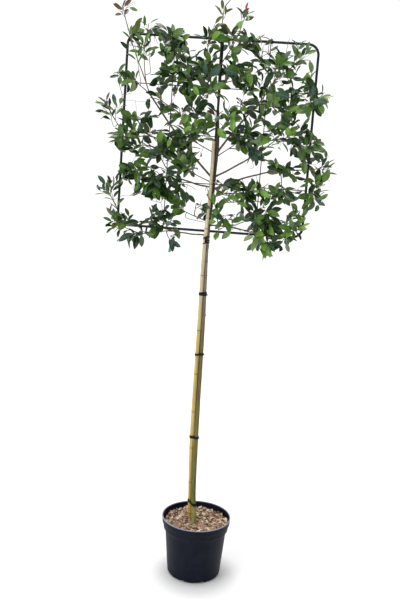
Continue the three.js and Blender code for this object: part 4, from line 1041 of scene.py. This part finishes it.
SKY_GAPS = [  # x, z, half width, half height of the openings that stay free of leaves
    (-566, 3310, 28, 34), (-492, 3290, 22, 50), (-410, 3345, 44, 46), (-408, 3455, 34, 30),
    (-172, 3455, 56, 34), (-332, 3130, 26, 48), (-258, 3112, 44, 34), (-522, 3058, 62, 34),
    (-505, 3148, 42, 32), (-415, 3044, 30, 24), (-48, 3130, 22, 30), (78, 3165, 42, 36),
    (135, 3385, 38, 32), (268, 3440, 20, 22), (392, 3450, 22, 24), (500, 3335, 26, 44),
    (578, 3400, 24, 50), (590, 3290, 12, 50), (468, 3245, 24, 20), (530, 3160, 28, 22),
    (342, 3040, 44, 22), (512, 3042, 36, 20), (165, 3142, 20, 24), (72, 3120, 20, 22),
    (222, 3345, 14, 26), (-500, 2462, 92, 44), (-562, 2545, 44, 40), (-490, 2385, 32, 38),
    (-428, 2396, 22, 18), (-560, 2745, 46, 40), (-410, 2850, 26, 18), (-113, 2533, 24, 30),
    (-140, 2440, 50, 52), (-72, 2500, 30, 26), (-112, 2352, 74, 30), (-285, 2445, 18, 26),
    (-235, 2384, 38, 14), (-195, 2634, 30, 14), (-342, 2462, 24, 34), (-398, 2960, 22, 22),
    (-80, 2750, 34, 44), (-90, 2680, 30, 26), (-72, 2832, 20, 30), (92, 2792, 70, 50),
    (112, 2722, 66, 30), (325, 2650, 52, 28), (200, 2650, 26, 22), (285, 2735, 24, 26),
    (420, 2790, 44, 34), (488, 2768, 26, 26), (395, 2668, 26, 16), (112, 2462, 56, 28),
    (200, 2362, 26, 20), (50, 2662, 36, 26), (450, 2470, 24, 26), (438, 2432, 20, 22),
    (540, 2515, 22, 28), (440, 2640, 30, 20), (262, 2962, 20, 24), (38, 3620, 24, 50),
    (-128, 3640, 40, 50), (270, 2168, 48, 34), (430, 2176, 38, 40), (308, 2156, 24, 44),
    (-370, 2474, 75, 15), (-296, 2236, 26, 44), (-192, 2250, 16, 56), (150, 2216, 80, 40),
    (540, 2210, 40, 50),
]
RUNNERS = [  # the points (x, z) that a single long shoot passes, and its depth in the crown
    ((-500, 3200), (-520, 3300), (-535, 3380), (-550, 3440), -16),
    ((-450, 3270), (-460, 3380), (-455, 3450), 8), ((-572, 3440), (-572, 3490), (-560, 3550), -12),
    ((-660, 2930), (-696, 3040), (-728, 3100), -5), ((-615, 3120), (-640, 3200), (-655, 3270), -12),
    ((420, 3260), (470, 3330), (495, 3400), -12), ((120, 3440), (160, 3470), (200, 3400), -14),
    ((290, 3420), (255, 3405), (222, 3365), -12), ((600, 3150), (650, 3166), (705, 3184), -8),
    ((-635, 2450), (-655, 2500), (-668, 2570), -6), ((-420, 2692), (-500, 2672), (-600, 2642), -14),
    ((330, 2730), (400, 2742), (470, 2730), -16), ((40, 2488), (140, 2502), (240, 2508), -18),
    ((-180, 2392), (-110, 2372), (-50, 2364), -16), ((-95, 3500), (-66, 3560), (-52, 3596), -10),
    ((190, 3440), (200, 3500), (226, 3522), -14), ((280, 3440), (286, 3490), (296, 3512), -16),
    ((395, 3420), (398, 3480), (404, 3512), -14), ((455, 3440), (466, 3476), (472, 3494), -16),
    ((-238, 2330), (-240, 2290), (-238, 2262), -14), ((340, 2290), (352, 2262), (356, 2244), -20),
    ((630, 2660), (668, 2700), (690, 2720), -6), ((-20, 2960), (-24, 3010), (-20, 3052), -30),
    ((-560, 3230), (-590, 3260), (-640, 3290), -14), ((550, 3220), (556, 3262), (552, 3300), -14),
    ((-330, 2420), (-340, 2470), (-380, 2480), -14), ((-215, 2600), (-170, 2592), (-120, 2566), -22),
    ((215, 2790), (228, 2752), (234, 2722), -18), ((60, 2600), (30, 2620), (10, 2640), -24),
    ((-560, 2870), (-640, 2860), (-672, 2826), -12),
]
FILL_LEFT, FILL_FROM, FILL_ROWS = -820, 2215, 34
FILL_STEP, FILL_RISE = 56, 0.87
FILL_JITTER, FILL_DEPTH = 26, 70
FILL_MARGINS = (12, 12, 25)  # inside the frame's posts, bottom rail and top rail
FILL_ROOM, FILL_REACH = 36, 150
FILL_ROUNDS = 5
GOLDEN_ANGLE = 2.39996
AREA_PER_SHOOT = 2900
SHOOT_REACH = 0.55
LEAF_OVERHANG = 38
SEAT_OFFSET = 2.5
TWIG_CLEARANCE = 1.5
LOBE_DEPTH, LOBE_DEPTH_SHARE = 50, 0.6
FORKS_FROM, FORKS_TO = 2440, 3480
FORK_STEP = 12
UP = np.array((0, 0, 1.0))
OBLIQUE = np.array((0.3, 0.2, 0.93))
SIDE_TWIGS = (0.42, 0.72)
SIDE_TWIG_LENGTH = (42, 74)
LOBE_STEM_RADII, RUNNER_RADII = (3.8, 2.2), (2.4, 1.5)
SHOOT_RADII, SIDE_TWIG_RADII, FILL_RADII = (2.1, 1.4), (1.3, 0.9), (1.5, 1)
LEAFY = {"shoot": 0.75, "lobe stem": 0.8, "side twig": 0.8, "fill": 0.85, "runner": 0.9}  # of its length
TWIG_SIDES = 6
TWIG_REACH = 1.25  # how far out of its lobes a twig may come, as a share
LIMB_CLEARANCE = 2.2
CROWN_FROM = 2050


def lobe_size(width, height):
    """Half sizes of a lobe; its depth follows the smaller of the other two."""
    return np.array((width, LOBE_DEPTH + LOBE_DEPTH_SHARE * min(width, height), height))


LOBES = [[np.array((x, CROWN_Y, z)) for x, z, *_ in lobes] for _, _, lobes in MASSES]
SIZES = [[lobe_size(width, height) for _, _, width, height, *_ in lobes] for _, _, lobes in MASSES]
ALL_LOBES, ALL_SIZES = np.concatenate(LOBES), np.concatenate(SIZES)
LOBE_MASS = [mass for mass, lobes in enumerate(LOBES) for _ in lobes]
GAPS = np.array(SKY_GAPS, float)


def seeded(seed):
    """Repeatable random numbers from 0 to 1."""
    state = seed * 7919 + 12345
    while True:
        state = state * 48271 % 2147483647
        yield state / 2147483647


def outness(points, lobes, sizes):
    """How far out points lie in the nearest of some lobes: 1 at its surface."""
    return np.linalg.norm((points[..., None, :] - lobes) / sizes, axis=-1).min(-1)


def in_sky(points):
    """Whether points lie in one of the crown's openings."""
    across = (points[..., None, 0] - GAPS[:, 0]) / GAPS[:, 2]
    up = (points[..., None, 2] - GAPS[:, 1]) / GAPS[:, 3]
    return (across ** 2 + up ** 2 < 1).any(-1)


def mass_root(start):
    """Where a mass begins, and the direction of the limb whose tip it grows from."""
    if not isinstance(start, tuple):
        return STEM.at(STEM.at_height(start)) + (0, BEHIND_CANE, 0), None
    carrier, place = start
    heading = carriers[carrier].heading(1)
    root = carriers[carrier].at(1) - heading * 2
    if place is not None:
        upward = unit(UP - heading * heading[2])
        root = root + upward * SEAT_OFFSET * math.cos(math.radians(place))
    return root, heading


def lobe_stems(start, lobes):
    """A stem to the middle of each lobe, from the mass's root or from another lobe's stem."""
    root, heading = mass_root(start)
    stems = []
    for x, z, width, height, *fork in lobes:
        begin, leaving = root, heading
        centre = np.array((x, CROWN_Y, z))
        if fork:
            begin = stems[fork[0]].at(fork[1])
        reach = centre - begin
        distance = np.linalg.norm(reach)
        reach = reach / distance
        if fork:
            leaving = unit(stems[fork[0]].heading(fork[1]) + reach)
        elif leaving is None:
            leaving = reach
        arriving = unit(reach + 0.5 * UP)
        end = centre + arriving * 0.15 * min(width, height)
        stems.append(bezier(begin, begin + leaving * 0.3 * distance, end - arriving * 0.35 * distance, end))
    return stems


def lobe_shoots(lobe, stem, draw):
    """Shoots from a lobe's stem to places spread evenly over its inner part."""
    x, z, width, height = lobe[:4]
    count = max(1, round(width * height / AREA_PER_SHOOT))
    sizes = lobe_size(width, height)
    inner = np.maximum(SHOOT_REACH * sizes, sizes - LEAF_OVERHANG)
    phase = next(draw) * 2 * math.pi
    shoots = []
    for k in range(count):
        rise = 1 - 2 * (k + 0.5) / count
        wide = math.sqrt(1 - rise * rise)
        angle = phase + k * GOLDEN_ANGLE
        tip = np.array((x, CROWN_Y, z)) + inner * (wide * math.cos(angle), wide * math.sin(angle), rise)
        begin = stem.at(0.85 - 0.3 * next(draw))
        sag = (begin + tip) / 2 - UP * 0.07 * np.linalg.norm(tip - begin)
        shoots.append(bezier(begin, sag, tip))
    return shoots


def side_twigs(shoot, draw):
    """Finer twigs that fork from a shoot on alternate sides."""
    found = []
    for i, share in enumerate(SIDE_TWIGS):
        begin, heading = shoot.at(share), shoot.heading(share)
        sideways = unit(np.cross(heading, OBLIQUE))
        upward = np.cross(sideways, heading)
        angle = (next(draw) + i) * math.pi
        out = unit(heading * 0.75 + sideways * math.cos(angle) * 0.8
                   + upward * math.sin(angle) * 0.45 + UP * 0.2)
        shortest, longest = SIDE_TWIG_LENGTH
        length = shortest + (longest - shortest) * next(draw)
        bend = begin + out * length * 0.5 + heading * length * 0.12
        found.append(bezier(begin, bend, begin + out * length + UP * length * 0.1))
    return found


def distances(points, starts, ends):
    """Distance from each point to each straight length."""
    run = ends - starts
    share = np.clip(((points[:, None] - starts) * run).sum(-1) / (run ** 2).sum(-1), 0, 1)
    return np.linalg.norm(points[:, None] - starts - share[..., None] * run, axis=-1)


class Limbs:
    """Every round length that leaves and twigs keep clear of."""

    def __init__(self):
        self.rows = []
        self.table = None

    def add(self, points, radius, owner=-1):
        self.rows += [(start, end, radius, owner) for start, end in zip(points[:-1], points[1:])]
        self.table = None

    def near(self, place, reach):
        """Arrays of the lengths within reach of a place: their starts, ends, radii and owners."""
        if self.table is None:
            self.table = [np.array(column) for column in zip(*self.rows)]
        starts, ends, _, _ = self.table
        close = distances(np.asarray(place)[None], starts, ends)[0] < reach
        return [column[close] for column in self.table]


limbs = Limbs()
for line, radius in ((STEM, 9), (CANE, 9)):
    upper = line.even(60)
    limbs.add(upper[upper[:, 2] > CROWN_FROM], radius)
for name, _, _, _, _, radii in BOUGHS:
    limbs.add(carriers[name].even(40), radii[0])
limbs.add(np.array(hoop_points + hoop_points[:1]), TUBE_RADIUS)
limbs.add(np.array([on_frame(0, 0, -SPIKE_LENGTH), on_frame(0, 0, FRAME_SIZE + SPIKE_HEAD)]), TUBE_RADIUS)
for ends in rods:
    limbs.add(np.array(ends), ROD_RADIUS)

twigs = []  # line, radii at root and tip, mass, and how much of it bears leaves


def add_twig(line, radii, mass, leafy):
    """Keeps a twig, and its lengths for what grows later to stay clear of."""
    limbs.add(line.even(25), max(radii), len(twigs))
    twigs.append((line, radii, mass, leafy))


def clear(points, middle, length, gap):
    """Whether the points of a twig of some length keep this far from stem, cane, boughs and frame."""
    starts, ends, radii, owners = limbs.near(middle, length + 20)
    solid = owners < 0
    return not (distances(points, starts[solid], ends[solid]) < radii[solid] + gap).any()


def twig_fits(line, mass):
    """Whether a twig, beyond its first quarter, is in its mass's space and clear of the limbs."""
    points = line.at(np.linspace(0.25, 1, 6))
    if (outness(points, np.array(LOBES[mass]), np.array(SIZES[mass])) > TWIG_REACH).any():
        return False
    return clear(points, points[2], line.length, TWIG_CLEARANCE + 1)


draws = []
for number, (name, start, lobes) in enumerate(MASSES):
    draws.append(seeded(number + 1))
    for line, (x, z, width, height, *_) in zip(lobe_stems(start, lobes), lobes):
        add_twig(line, LOBE_STEM_RADII, number, LEAFY["lobe stem"] * min(width, height) / line.length)
every_lobe = [lobe for _, _, lobes in MASSES for lobe in lobes]
for lobe, (line, _, mass, _) in zip(every_lobe, list(twigs)):
    for shoot in lobe_shoots(lobe, line, draws[mass]):
        if twig_fits(shoot, mass):
            add_twig(shoot, SHOOT_RADII, mass, LEAFY["shoot"])
            for twig in side_twigs(shoot, draws[mass]):
                if twig_fits(twig, mass):
                    add_twig(twig, SIDE_TWIG_RADII, mass, LEAFY["side twig"])


def crown_places():
    """Places spread over the square that the crown is trained on, and over the lobes outside it."""
    places = []
    middle_x, _, foot = FRAME_PLACE
    beside, above, below = FILL_MARGINS
    for row in range(FILL_ROWS):
        for column in range(FILL_ROWS):
            x = FILL_LEFT + (column + 0.5 * (row % 2)) * FILL_STEP + FILL_JITTER * (next(scatter) - 0.5)
            z = FILL_FROM + row * FILL_STEP * FILL_RISE + FILL_JITTER * (next(scatter) - 0.5)
            place = np.array((x, CROWN_Y + FILL_DEPTH * (next(scatter) - 0.6), z))
            framed = abs(x - middle_x) < half - beside and foot + above < z < foot + FRAME_SIZE - below
            if not in_sky(place) and (framed or outness(place, ALL_LOBES, ALL_SIZES) < 0.7):
                places.append(place)
    return places


def nearest_fork(place):
    """The closest point of the crown's limbs to a place, and the distance to it."""
    away = np.linalg.norm((np.array(forks) - place) * (1, 0.6, 1), axis=1)
    return forks[int(away.argmin())], float(away.min())


def mass_at(place):
    """The number of the mass in whose lobe a place lies deepest."""
    return LOBE_MASS[int(np.linalg.norm((place - ALL_LOBES) / ALL_SIZES, axis=1).argmin())]


scatter = seeded(91)
forks = [point for line in carriers.values() for point in line.even(15)
         if FORKS_FROM < point[2] < FORKS_TO]
forks += [point for line, _, _, _ in twigs for point in line.even(FORK_STEP)[1:]]
for *way, depth in RUNNERS:
    way = [np.array((x, CROWN_Y + depth, z)) for x, z in way]
    fork, _ = nearest_fork(way[0])
    line = catmull_rom([fork, *way])
    add_twig(line, RUNNER_RADII, mass_at(way[-1]), LEAFY["runner"])
    forks += list(line.even(FORK_STEP)[1:])
waiting = crown_places()
for _ in range(FILL_ROUNDS):
    left = []
    for place in waiting:
        fork, away = nearest_fork(place)
        if away < FILL_ROOM:
            continue
        if away > FILL_REACH:
            left.append(place)
            continue
        line = bezier(fork, fork + 0.5 * (place - fork) - UP * 0.1 * away, place + UP * 0.06 * away)
        if clear(line.at(np.linspace(0.3, 1, 6)), line.at(0.6), line.length, TWIG_CLEARANCE):
            add_twig(line, FILL_RADII, mass_at(place), LEAFY["fill"])
            forks += list(line.even(FORK_STEP)[1:])
    waiting = left

twig_bark = mottled_material("twig_bark", 0.7, (0.13, 0.085, 0.055), (0.16, 0.14, 0.07),
                             20 * MM, 1.2 * MM, 0.4, 0.3 * MM)
parts = []
for line, radii, _, _ in twigs:
    points = line.even(max(9, line.length / 12))
    parts.append(limb(points, np.linspace(*radii, len(points)), TWIG_SIDES))
vertices, faces = joined(parts)
crown_twigs = make_piece("crown_twigs", vertices * MM, faces, [twig_bark])
keep(crown_twigs, "bough_bark", *[name for name, _, _ in MASSES])

# ------------------------------------------------------------------ crown: leaves
# Leathery evergreen leaves, long ovals with a short point, folded a little along a pale midrib.
# They are glossy green above and dull grey-green below; the youngest sprays are bronze or red.
LEAF_SPACING = 17
LEAF_TRIES = 16
LEAF_RANKS = 9
LEAF_HABITS = {  # least and greatest length, width as a share of it, room round it, how far up it turns
    "spread": (66, 110, 0.42, 18, 0.12),
    "airy": (60, 94, 0.32, 27, 0.12),
    "hanging": (78, 122, 0.36, 18, -0.95),
}
AIRY = [  # x, z, and reach of the sprays whose narrow leaves stand apart, to left and right
    (-640, 3680, 130), (-720, 3050, 90), (-700, 2530, 110), (-650, 3280, 90), (-720, 2300, 90),
    (700, 3170, 80), (690, 2760, 100), (-12, 3690, 90), (128, 3660, 90), (-555, 3450, 110),
    (-455, 3400, 90), (-520, 3300, 90), (500, 3400, 80), (210, 3400, 80), (340, 3500, 150),
    (-610, 2420, 70),
]
HANGING = [  # x, z, and reach of the sprays whose leaves hang
    (-375, 2600, 125), (-480, 2230, 100), (290, 2230, 80), (-240, 2225, 60), (340, 2400, 70),
    (232, 2740, 36),
]
PETIOLE_SHARE = 0.14
TIP_SPREAD, SIDE_SPREAD = 0.35, 0.8
FACE_OUT, FACE_UP, FACE_ALONG, FACE_ASTRAY = 0.75, 0.6, 0.35, 1.7
FRAME_NORMAL = np.array((0.03, 1, 0.02))
LEAF_GAP = 5
LEAF_MIDDLE = 0.55
NEIGHBOURS = 1.7  # how many lengths away others are looked for
OWN_REACH = 2.2
INNER_REACH, OUTER_REACH = 1.55, 1.14
FRAME_EDGE = 610
PROBES = np.array([(0.3, 0), (0.62, 0), (1, 0), (0.5, 0.85), (0.5, -0.85), (0.8, 0.6), (0.8, -0.6)])
BLADE = [  # place along the blade, and half width there, as shares
    (0.1, 0.4), (0.26, 0.79), (0.44, 0.98), (0.62, 0.97), (0.79, 0.74), (0.92, 0.35),
]
RIB, CREASE, CREASE_RISE = 0.05, 0.55, 0.07
BLADE_THICKNESS, RIB_THICKNESS = 0.6, 1.3
STALK_RADIUS = 0.9
LEAF_GLOSS = 0.38
TONES = {  # upper side, its other tone, underside, roughness of the upper side
    "deep": ((0.005, 0.026, 0.0015), (0.014, 0.052, 0.004), (0.06, 0.112, 0.042), 0.32),
    "mid": ((0.05, 0.132, 0.014), (0.094, 0.204, 0.026), (0.165, 0.255, 0.11), 0.33),
    "fresh": ((0.13, 0.275, 0.035), (0.2, 0.37, 0.055), (0.24, 0.36, 0.13), 0.38),
    "blue": ((0.024, 0.075, 0.044), (0.055, 0.12, 0.075), (0.16, 0.24, 0.18), 0.42),
    "olive": ((0.1, 0.115, 0.015), (0.15, 0.155, 0.025), (0.17, 0.18, 0.07), 0.4),
    "bronze": ((0.09, 0.052, 0.03), (0.125, 0.08, 0.045), (0.16, 0.12, 0.08), 0.35),
    "red": ((0.3, 0.03, 0.02), (0.4, 0.06, 0.04), (0.3, 0.08, 0.06), 0.35),
    "withered": ((0.06, 0.022, 0.012), (0.12, 0.04, 0.02), (0.1, 0.045, 0.03), 0.8),
}
SHARES = (("deep", 0.46), ("mid", 0.85), ("blue", 0.91), ("fresh", 1.0))
PLACED_TONES = [  # tone, x, z, and how far round it
    ("red", 130, 3708, 34), ("withered", -24, 3050, 50), ("bronze", -640, 3700, 80),
    ("olive", -632, 3630, 60), ("olive", -20, 3650, 100), ("olive", -560, 3565, 36),
    ("olive", -595, 3525, 30), ("olive", 235, 3515, 30), ("bronze", 312, 3515, 30),
    ("bronze", 235, 2695, 28), ("bronze", -632, 2425, 36), ("bronze", -722, 3120, 24),
    ("fresh", 300, 3125, 60), ("fresh", -170, 2965, 70), ("fresh", 435, 3070, 45),
    ("fresh", 90, 2975, 44), ("fresh", 530, 3290, 56), ("fresh", 352, 2200, 26), ("fresh", 140, 2520, 56),
    ("fresh", 280, 2580, 44), ("fresh", 130, 3085, 34), ("fresh", -95, 3350, 40),
    ("fresh", 140, 3290, 30), ("fresh", 285, 2890, 40), ("fresh", 445, 2952, 38),
    ("fresh", 462, 2330, 34), ("fresh", 582, 2375, 40), ("fresh", -215, 2752, 32),
    ("fresh", 690, 3150, 60), ("olive", -606, 2326, 18), ("olive", 640, 2740, 50),
    ("blue", -540, 2232, 34), ("blue", -478, 2262, 34), ("blue", -350, 2690, 44),
    ("blue", -440, 2515, 34), ("blue", -390, 2790, 40), ("deep", -370, 2640, 96), ("mid", -360, 2530, 40),
    ("deep", 420, 2245, 44), ("blue", -235, 2220, 50), ("blue", 240, 2370, 50), ("blue", 60, 2400, 44),
    ("blue", 225, 2800, 60), ("blue", 420, 2900, 56),
]
leaf_middles, leaf_points = [], []
leaves = []  # root, out, face, length, half width, a number of its own, twig


def habit_at(x, z):
    """How the leaves of a spray at this place grow."""
    for habit, places in (("airy", AIRY), ("hanging", HANGING)):
        if any(math.hypot(x - middle, z - height) < reach for middle, height, reach in places):
            return habit
    return "spread"


def inside_crown(points, mass):
    """Whether the points of each leaf lie in its mass's own space and in the crown's outline."""
    framed = ((abs(points[..., 0] - FRAME_PLACE[0]) < FRAME_EDGE)
              & (points[..., 2] < FRAME_PLACE[2] + FRAME_EDGE * 2))
    own = outness(points, np.array(LOBES[mass]), np.array(SIZES[mass])) < OWN_REACH
    near_any = outness(points, ALL_LOBES, ALL_SIZES) < np.where(framed, INNER_REACH, OUTER_REACH)
    return (own & near_any & ~in_sky(points)).all(1)


def place_leaf(index, rank, phase, draw):
    """Of several places round a twig where a leaf has room, takes the most open one."""
    line, _, mass, _ = twigs[index]
    share = max(0.1, 0.98 - rank * LEAF_SPACING / line.length)
    heading, root = line.heading(share), line.at(share)
    habit = habit_at(root[0], root[2])
    shortest, longest, width_share, room, rise = LEAF_HABITS[habit]
    sideways = unit(np.cross(heading, FRAME_NORMAL if habit == "airy" else OBLIQUE))
    upward = np.cross(sideways, heading)
    astray = np.array([next(draw) - 0.5 for _ in range(3)])
    length = shortest + (longest - shortest) * next(draw)
    turns = np.arange(LEAF_TRIES)
    spread = TIP_SPREAD if rank == 0 else SIDE_SPREAD
    if habit == "airy":
        angle = math.pi * (rank % 2) + 1.1 * (turns / LEAF_TRIES - 0.5)
        opened = spread - 0.12 + 0.12 * (turns % 3)
    else:
        angle = phase + (rank + turns) * GOLDEN_ANGLE
        opened = spread + 0.3 * (turns % 3)
    out = unit(heading * np.cos(opened)[:, None] + sideways * (np.sin(opened) * np.cos(angle))[:, None]
               + upward * (np.sin(opened) * np.sin(angle))[:, None] + UP * rise)
    front = np.where(out[:, 1] < 0.2, -1, 1)
    face = np.stack([np.zeros(LEAF_TRIES), FACE_OUT * front, np.full(LEAF_TRIES, FACE_UP)], 1)
    face = face + heading * FACE_ALONG + astray * FACE_ASTRAY
    face = unit(face - out * (face * out).sum(1, keepdims=True))
    side = np.cross(out, face)
    half_width = width_share * length / 2
    points = (root + out[:, None] * (PROBES[:, 0] * length)[:, None]
              + side[:, None] * (PROBES[:, 1] * half_width)[:, None])
    fits = inside_crown(points, mass)
    starts, ends, radii, owners = limbs.near(root, length + 12)
    other = owners != index
    away = distances(points.reshape(-1, 3), starts[other], ends[other])
    fits &= (away.reshape(LEAF_TRIES, -1, other.sum()) > radii[other] + LIMB_CLEARANCE).all((1, 2))
    middles = root + out * (LEAF_MIDDLE * length)
    openness = np.full(LEAF_TRIES, 1e3)
    if leaf_middles:
        placed = np.array(leaf_middles)
        close = np.linalg.norm(placed - root, axis=1) < NEIGHBOURS * length
        if close.any():
            apart = (middles[:, None] - placed[close]) * (1, 0.5, 1)
            openness = np.linalg.norm(apart, axis=-1).min(1)
            theirs = np.array(leaf_points)[close].reshape(-1, 3)
            gaps = np.linalg.norm(points[:, :, None] - theirs, axis=-1)
            fits &= (gaps > LEAF_GAP).all((1, 2))
    fits &= openness > room
    if fits.any():
        best = int(np.argmax(np.where(fits, openness, -1)))
        leaf_middles.append(middles[best])
        leaf_points.append(points[best])
        leaves.append((root, out[best], face[best], length, half_width, next(draw), index))


phases = [next(draws[mass]) * 2 * math.pi for _, _, mass, _ in twigs]
for rank in range(LEAF_RANKS):
    for index, (line, _, mass, leafy) in enumerate(twigs):
        reach = min(leafy * line.length, (LEAF_RANKS - 1) * LEAF_SPACING)
        if rank * LEAF_SPACING <= reach:
            place_leaf(index, rank, phases[index], draws[mass])


def leaf_tone(middle, index, number):
    """A leaf's tone: that of its place in the crown, or one dealt to its spray."""
    for tone, x, z, reach in PLACED_TONES:
        if math.hypot(middle[0] - x, middle[2] - z) < reach * (0.6 + 0.6 * number):
            return tone
    dealt = (math.sin(index * 12.9898) * 43758.5453) % 1
    mixed_in = (dealt + 0.25 * (number - 0.5)) % 1
    return next(tone for tone, limit in SHARES if mixed_in <= limit)


def blade_faces():
    """One blade's faces and their materials. Its vertices are its root, its tip and, for each row,
    six across the upper side and three across the lower."""
    faces, slots = [], []
    rows = len(BLADE)

    def top(row, k):
        return 2 + row * 9 + k

    def under(row, k):
        return (top(row, 0), 2 + row * 9 + 6, 2 + row * 9 + 7, 2 + row * 9 + 8, top(row, 5))[k]

    for k in range(5):
        slot = 2 if k == 2 else 0
        faces.append((0, top(0, k), top(0, k + 1)))
        slots.append(slot)
        for row in range(rows - 1):
            faces.append((top(row, k), top(row + 1, k), top(row + 1, k + 1), top(row, k + 1)))
            slots.append(slot)
        faces.append((1, top(rows - 1, k + 1), top(rows - 1, k)))
        slots.append(slot)
    for k in range(4):
        faces.append((0, under(0, k + 1), under(0, k)))
        slots.append(1)
        for row in range(rows - 1):
            faces.append((under(row, k), under(row, k + 1), under(row + 1, k + 1), under(row + 1, k)))
            slots.append(1)
        faces.append((1, under(rows - 1, k), under(rows - 1, k + 1)))
        slots.append(1)
    return faces, slots


BLADE_FACES, BLADE_SLOTS = blade_faces()
PETIOLE_FACES = [(0, 1, 4, 3), (1, 2, 5, 4), (2, 0, 3, 5), (0, 2, 1), (3, 4, 5)]


def leaf_vertices(root, out, face, length, half_width, number):
    """One leaf: its blade's vertices, and its stalk's."""
    side = np.cross(out, face)
    stalk = PETIOLE_SHARE * length
    blade = length - stalk
    bend = 0.12 + 0.4 * number
    fold = 0.12 + 0.35 * ((number * 7.3) % 1)
    twist = 0.5 * ((number * 3.1) % 1 - 0.5)
    half_width = half_width * (0.9 + 0.2 * ((number * 5.7) % 1))

    def at(share, across, rise):
        turned = side * math.cos(twist * share) + face * math.sin(twist * share)
        raised = face * math.cos(twist * share) - side * math.sin(twist * share)
        middle = root + out * (stalk + blade * share * (1 - 0.1 * bend * bend * share * share))
        return middle - face * (blade * bend * share * share / 2) + turned * across + raised * rise

    vertices = [at(0, 0, 0), at(1, 0, 0)]
    for share, width in BLADE:
        w = width * half_width
        for across in (-1, -CREASE, -RIB, RIB, CREASE, 1):
            lift = {1: fold, CREASE: CREASE * fold + CREASE_RISE, RIB: 0.0}[abs(across)]
            vertices.append(at(share, across * w, lift * w))
        for across in (-CREASE, 0, CREASE):
            lift = (CREASE * fold + CREASE_RISE) * w - BLADE_THICKNESS if across else -RIB_THICKNESS
            vertices.append(at(share, across * w, lift))
    corners = [side * STALK_RADIUS, -side * 0.45 + face * 0.8, -side * 0.45 - face * 0.8]
    end = at(0.04, 0, -0.5)
    return vertices, [root - out * 1.5 + arm for arm in corners] + [end + arm * 0.9 for arm in corners]


def leaf_surface(name, tone, other, roughness):
    return mottled_material(name, roughness, tone, other, 45 * MM, 5 * MM, 0.25, 0.8 * MM, LEAF_GLOSS)


sorted_leaves = {tone: [] for tone in TONES}
for (*leaf, number, index), middle in zip(leaves, leaf_middles):
    sorted_leaves[leaf_tone(middle, index, number)].append((*leaf, number))
for tone, group in sorted_leaves.items():
    if not group:
        continue
    upper, other, under, roughness = TONES[tone]
    materials = [leaf_surface(tone + "_leaf", upper, other, roughness),
                 leaf_surface(tone + "_leaf_back", under, tuple(0.8 * c for c in under), 0.6),
                 leaf_surface(tone + "_leaf_rib", tuple(0.6 * a + 0.12 for a in under), under, 0.5)]
    vertices, faces, slots = [], [], []
    for leaf in group:
        blade, stalk = leaf_vertices(*leaf)
        first = len(vertices)
        faces += [tuple(first + corner for corner in face) for face in BLADE_FACES]
        slots += BLADE_SLOTS
        vertices += blade
        first = len(vertices)
        faces += [tuple(first + corner for corner in face) for face in PETIOLE_FACES]
        slots += [2] * len(PETIOLE_FACES)
        vertices += stalk
    piece = make_piece(tone + "_leaves", np.array(vertices) * MM, faces, materials, slots, sharp=70)
    keep(piece, "foliage")

# ------------------------------------------------------------------ floor, light and camera
# A plain white floor, an even white sky with two soft lamps, and a camera above head height.
floor_material, _, surface = new_material("white_floor", 0.9)
surface["Base Color"].default_value = (0.8, 0.8, 0.8, 1)
FLOOR_REACH = 40
SKY_LIGHT, SKY_SEEN = 0.35, 1.1
LAMPS = [  # name, direction, strength, width in degrees
    ("high_sun", (0.03, -0.08, -1), 3.4, 38), ("side_sun", (0.8, 0.62, -0.45), 1.2, 40),
]
corners = [(x * FLOOR_REACH, y * FLOOR_REACH, -MM) for x, y in ((-1, -1), (1, -1), (1, 1), (-1, 1))]
floor = make_piece("floor", corners, [(0, 1, 2, 3)], [floor_material])
floor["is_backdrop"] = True

world = bpy.data.worlds.new("white_sky")
bpy.context.scene.world = world
world.use_nodes = True
sky = world.node_tree
seen = add_node(sky, "ShaderNodeLightPath").outputs["Is Camera Ray"]
strength = add_node(sky, "ShaderNodeMapRange", {"Value": seen, "To Min": SKY_LIGHT, "To Max": SKY_SEEN})
sky.nodes["Background"].inputs["Color"].default_value = (1, 1, 1, 1)
sky.links.new(strength.outputs["Result"], sky.nodes["Background"].inputs["Strength"])

for name, toward, strength, spread in LAMPS:
    lamp = bpy.data.lights.new(name, "SUN")
    lamp.energy = strength
    lamp.angle = math.radians(spread)
    holder = bpy.data.objects.new(name, lamp)
    holder.rotation_mode = "QUATERNION"
    holder.rotation_quaternion = Vector(toward).to_track_quat("-Z", "Y")
    bpy.context.scene.collection.objects.link(holder)

CAMERA_PLACE = (0.1359, -4.1848, 2.377)
CAMERA_PITCH, CAMERA_ROLL, CAMERA_TURN = (math.radians(degrees) for degrees in (7.03, 3.19, -2.63))
SENSOR_WIDTH, FOCAL_LENGTH = 36, 38.88
camera = bpy.data.cameras.new("camera")
camera.sensor_fit = "AUTO"
camera.sensor_width = SENSOR_WIDTH
camera.lens = FOCAL_LENGTH
viewpoint = bpy.data.objects.new("camera", camera)
viewpoint.location = CAMERA_PLACE
ahead = Vector((math.sin(CAMERA_TURN) * math.cos(CAMERA_PITCH),
                math.cos(CAMERA_TURN) * math.cos(CAMERA_PITCH), -math.sin(CAMERA_PITCH)))
level = Vector((math.cos(CAMERA_TURN), -math.sin(CAMERA_TURN), 0))
over = level.cross(ahead)
right = level * math.cos(CAMERA_ROLL) + over * math.sin(CAMERA_ROLL)
over = over * math.cos(CAMERA_ROLL) - level * math.sin(CAMERA_ROLL)
viewpoint.rotation_mode = "QUATERNION"
turned = [(right[i], over[i], -ahead[i]) for i in range(3)]
viewpoint.rotation_quaternion = Matrix(turned).to_quaternion()
bpy.context.scene.collection.objects.link(viewpoint)
bpy.context.scene.camera = viewpoint
bpy.context.scene.view_settings.view_transform = "Standard"

boxes = {"solids": solid_box, "looks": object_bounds()}
{name: [list(corner) for corner in box] for name, box in boxes.items()}
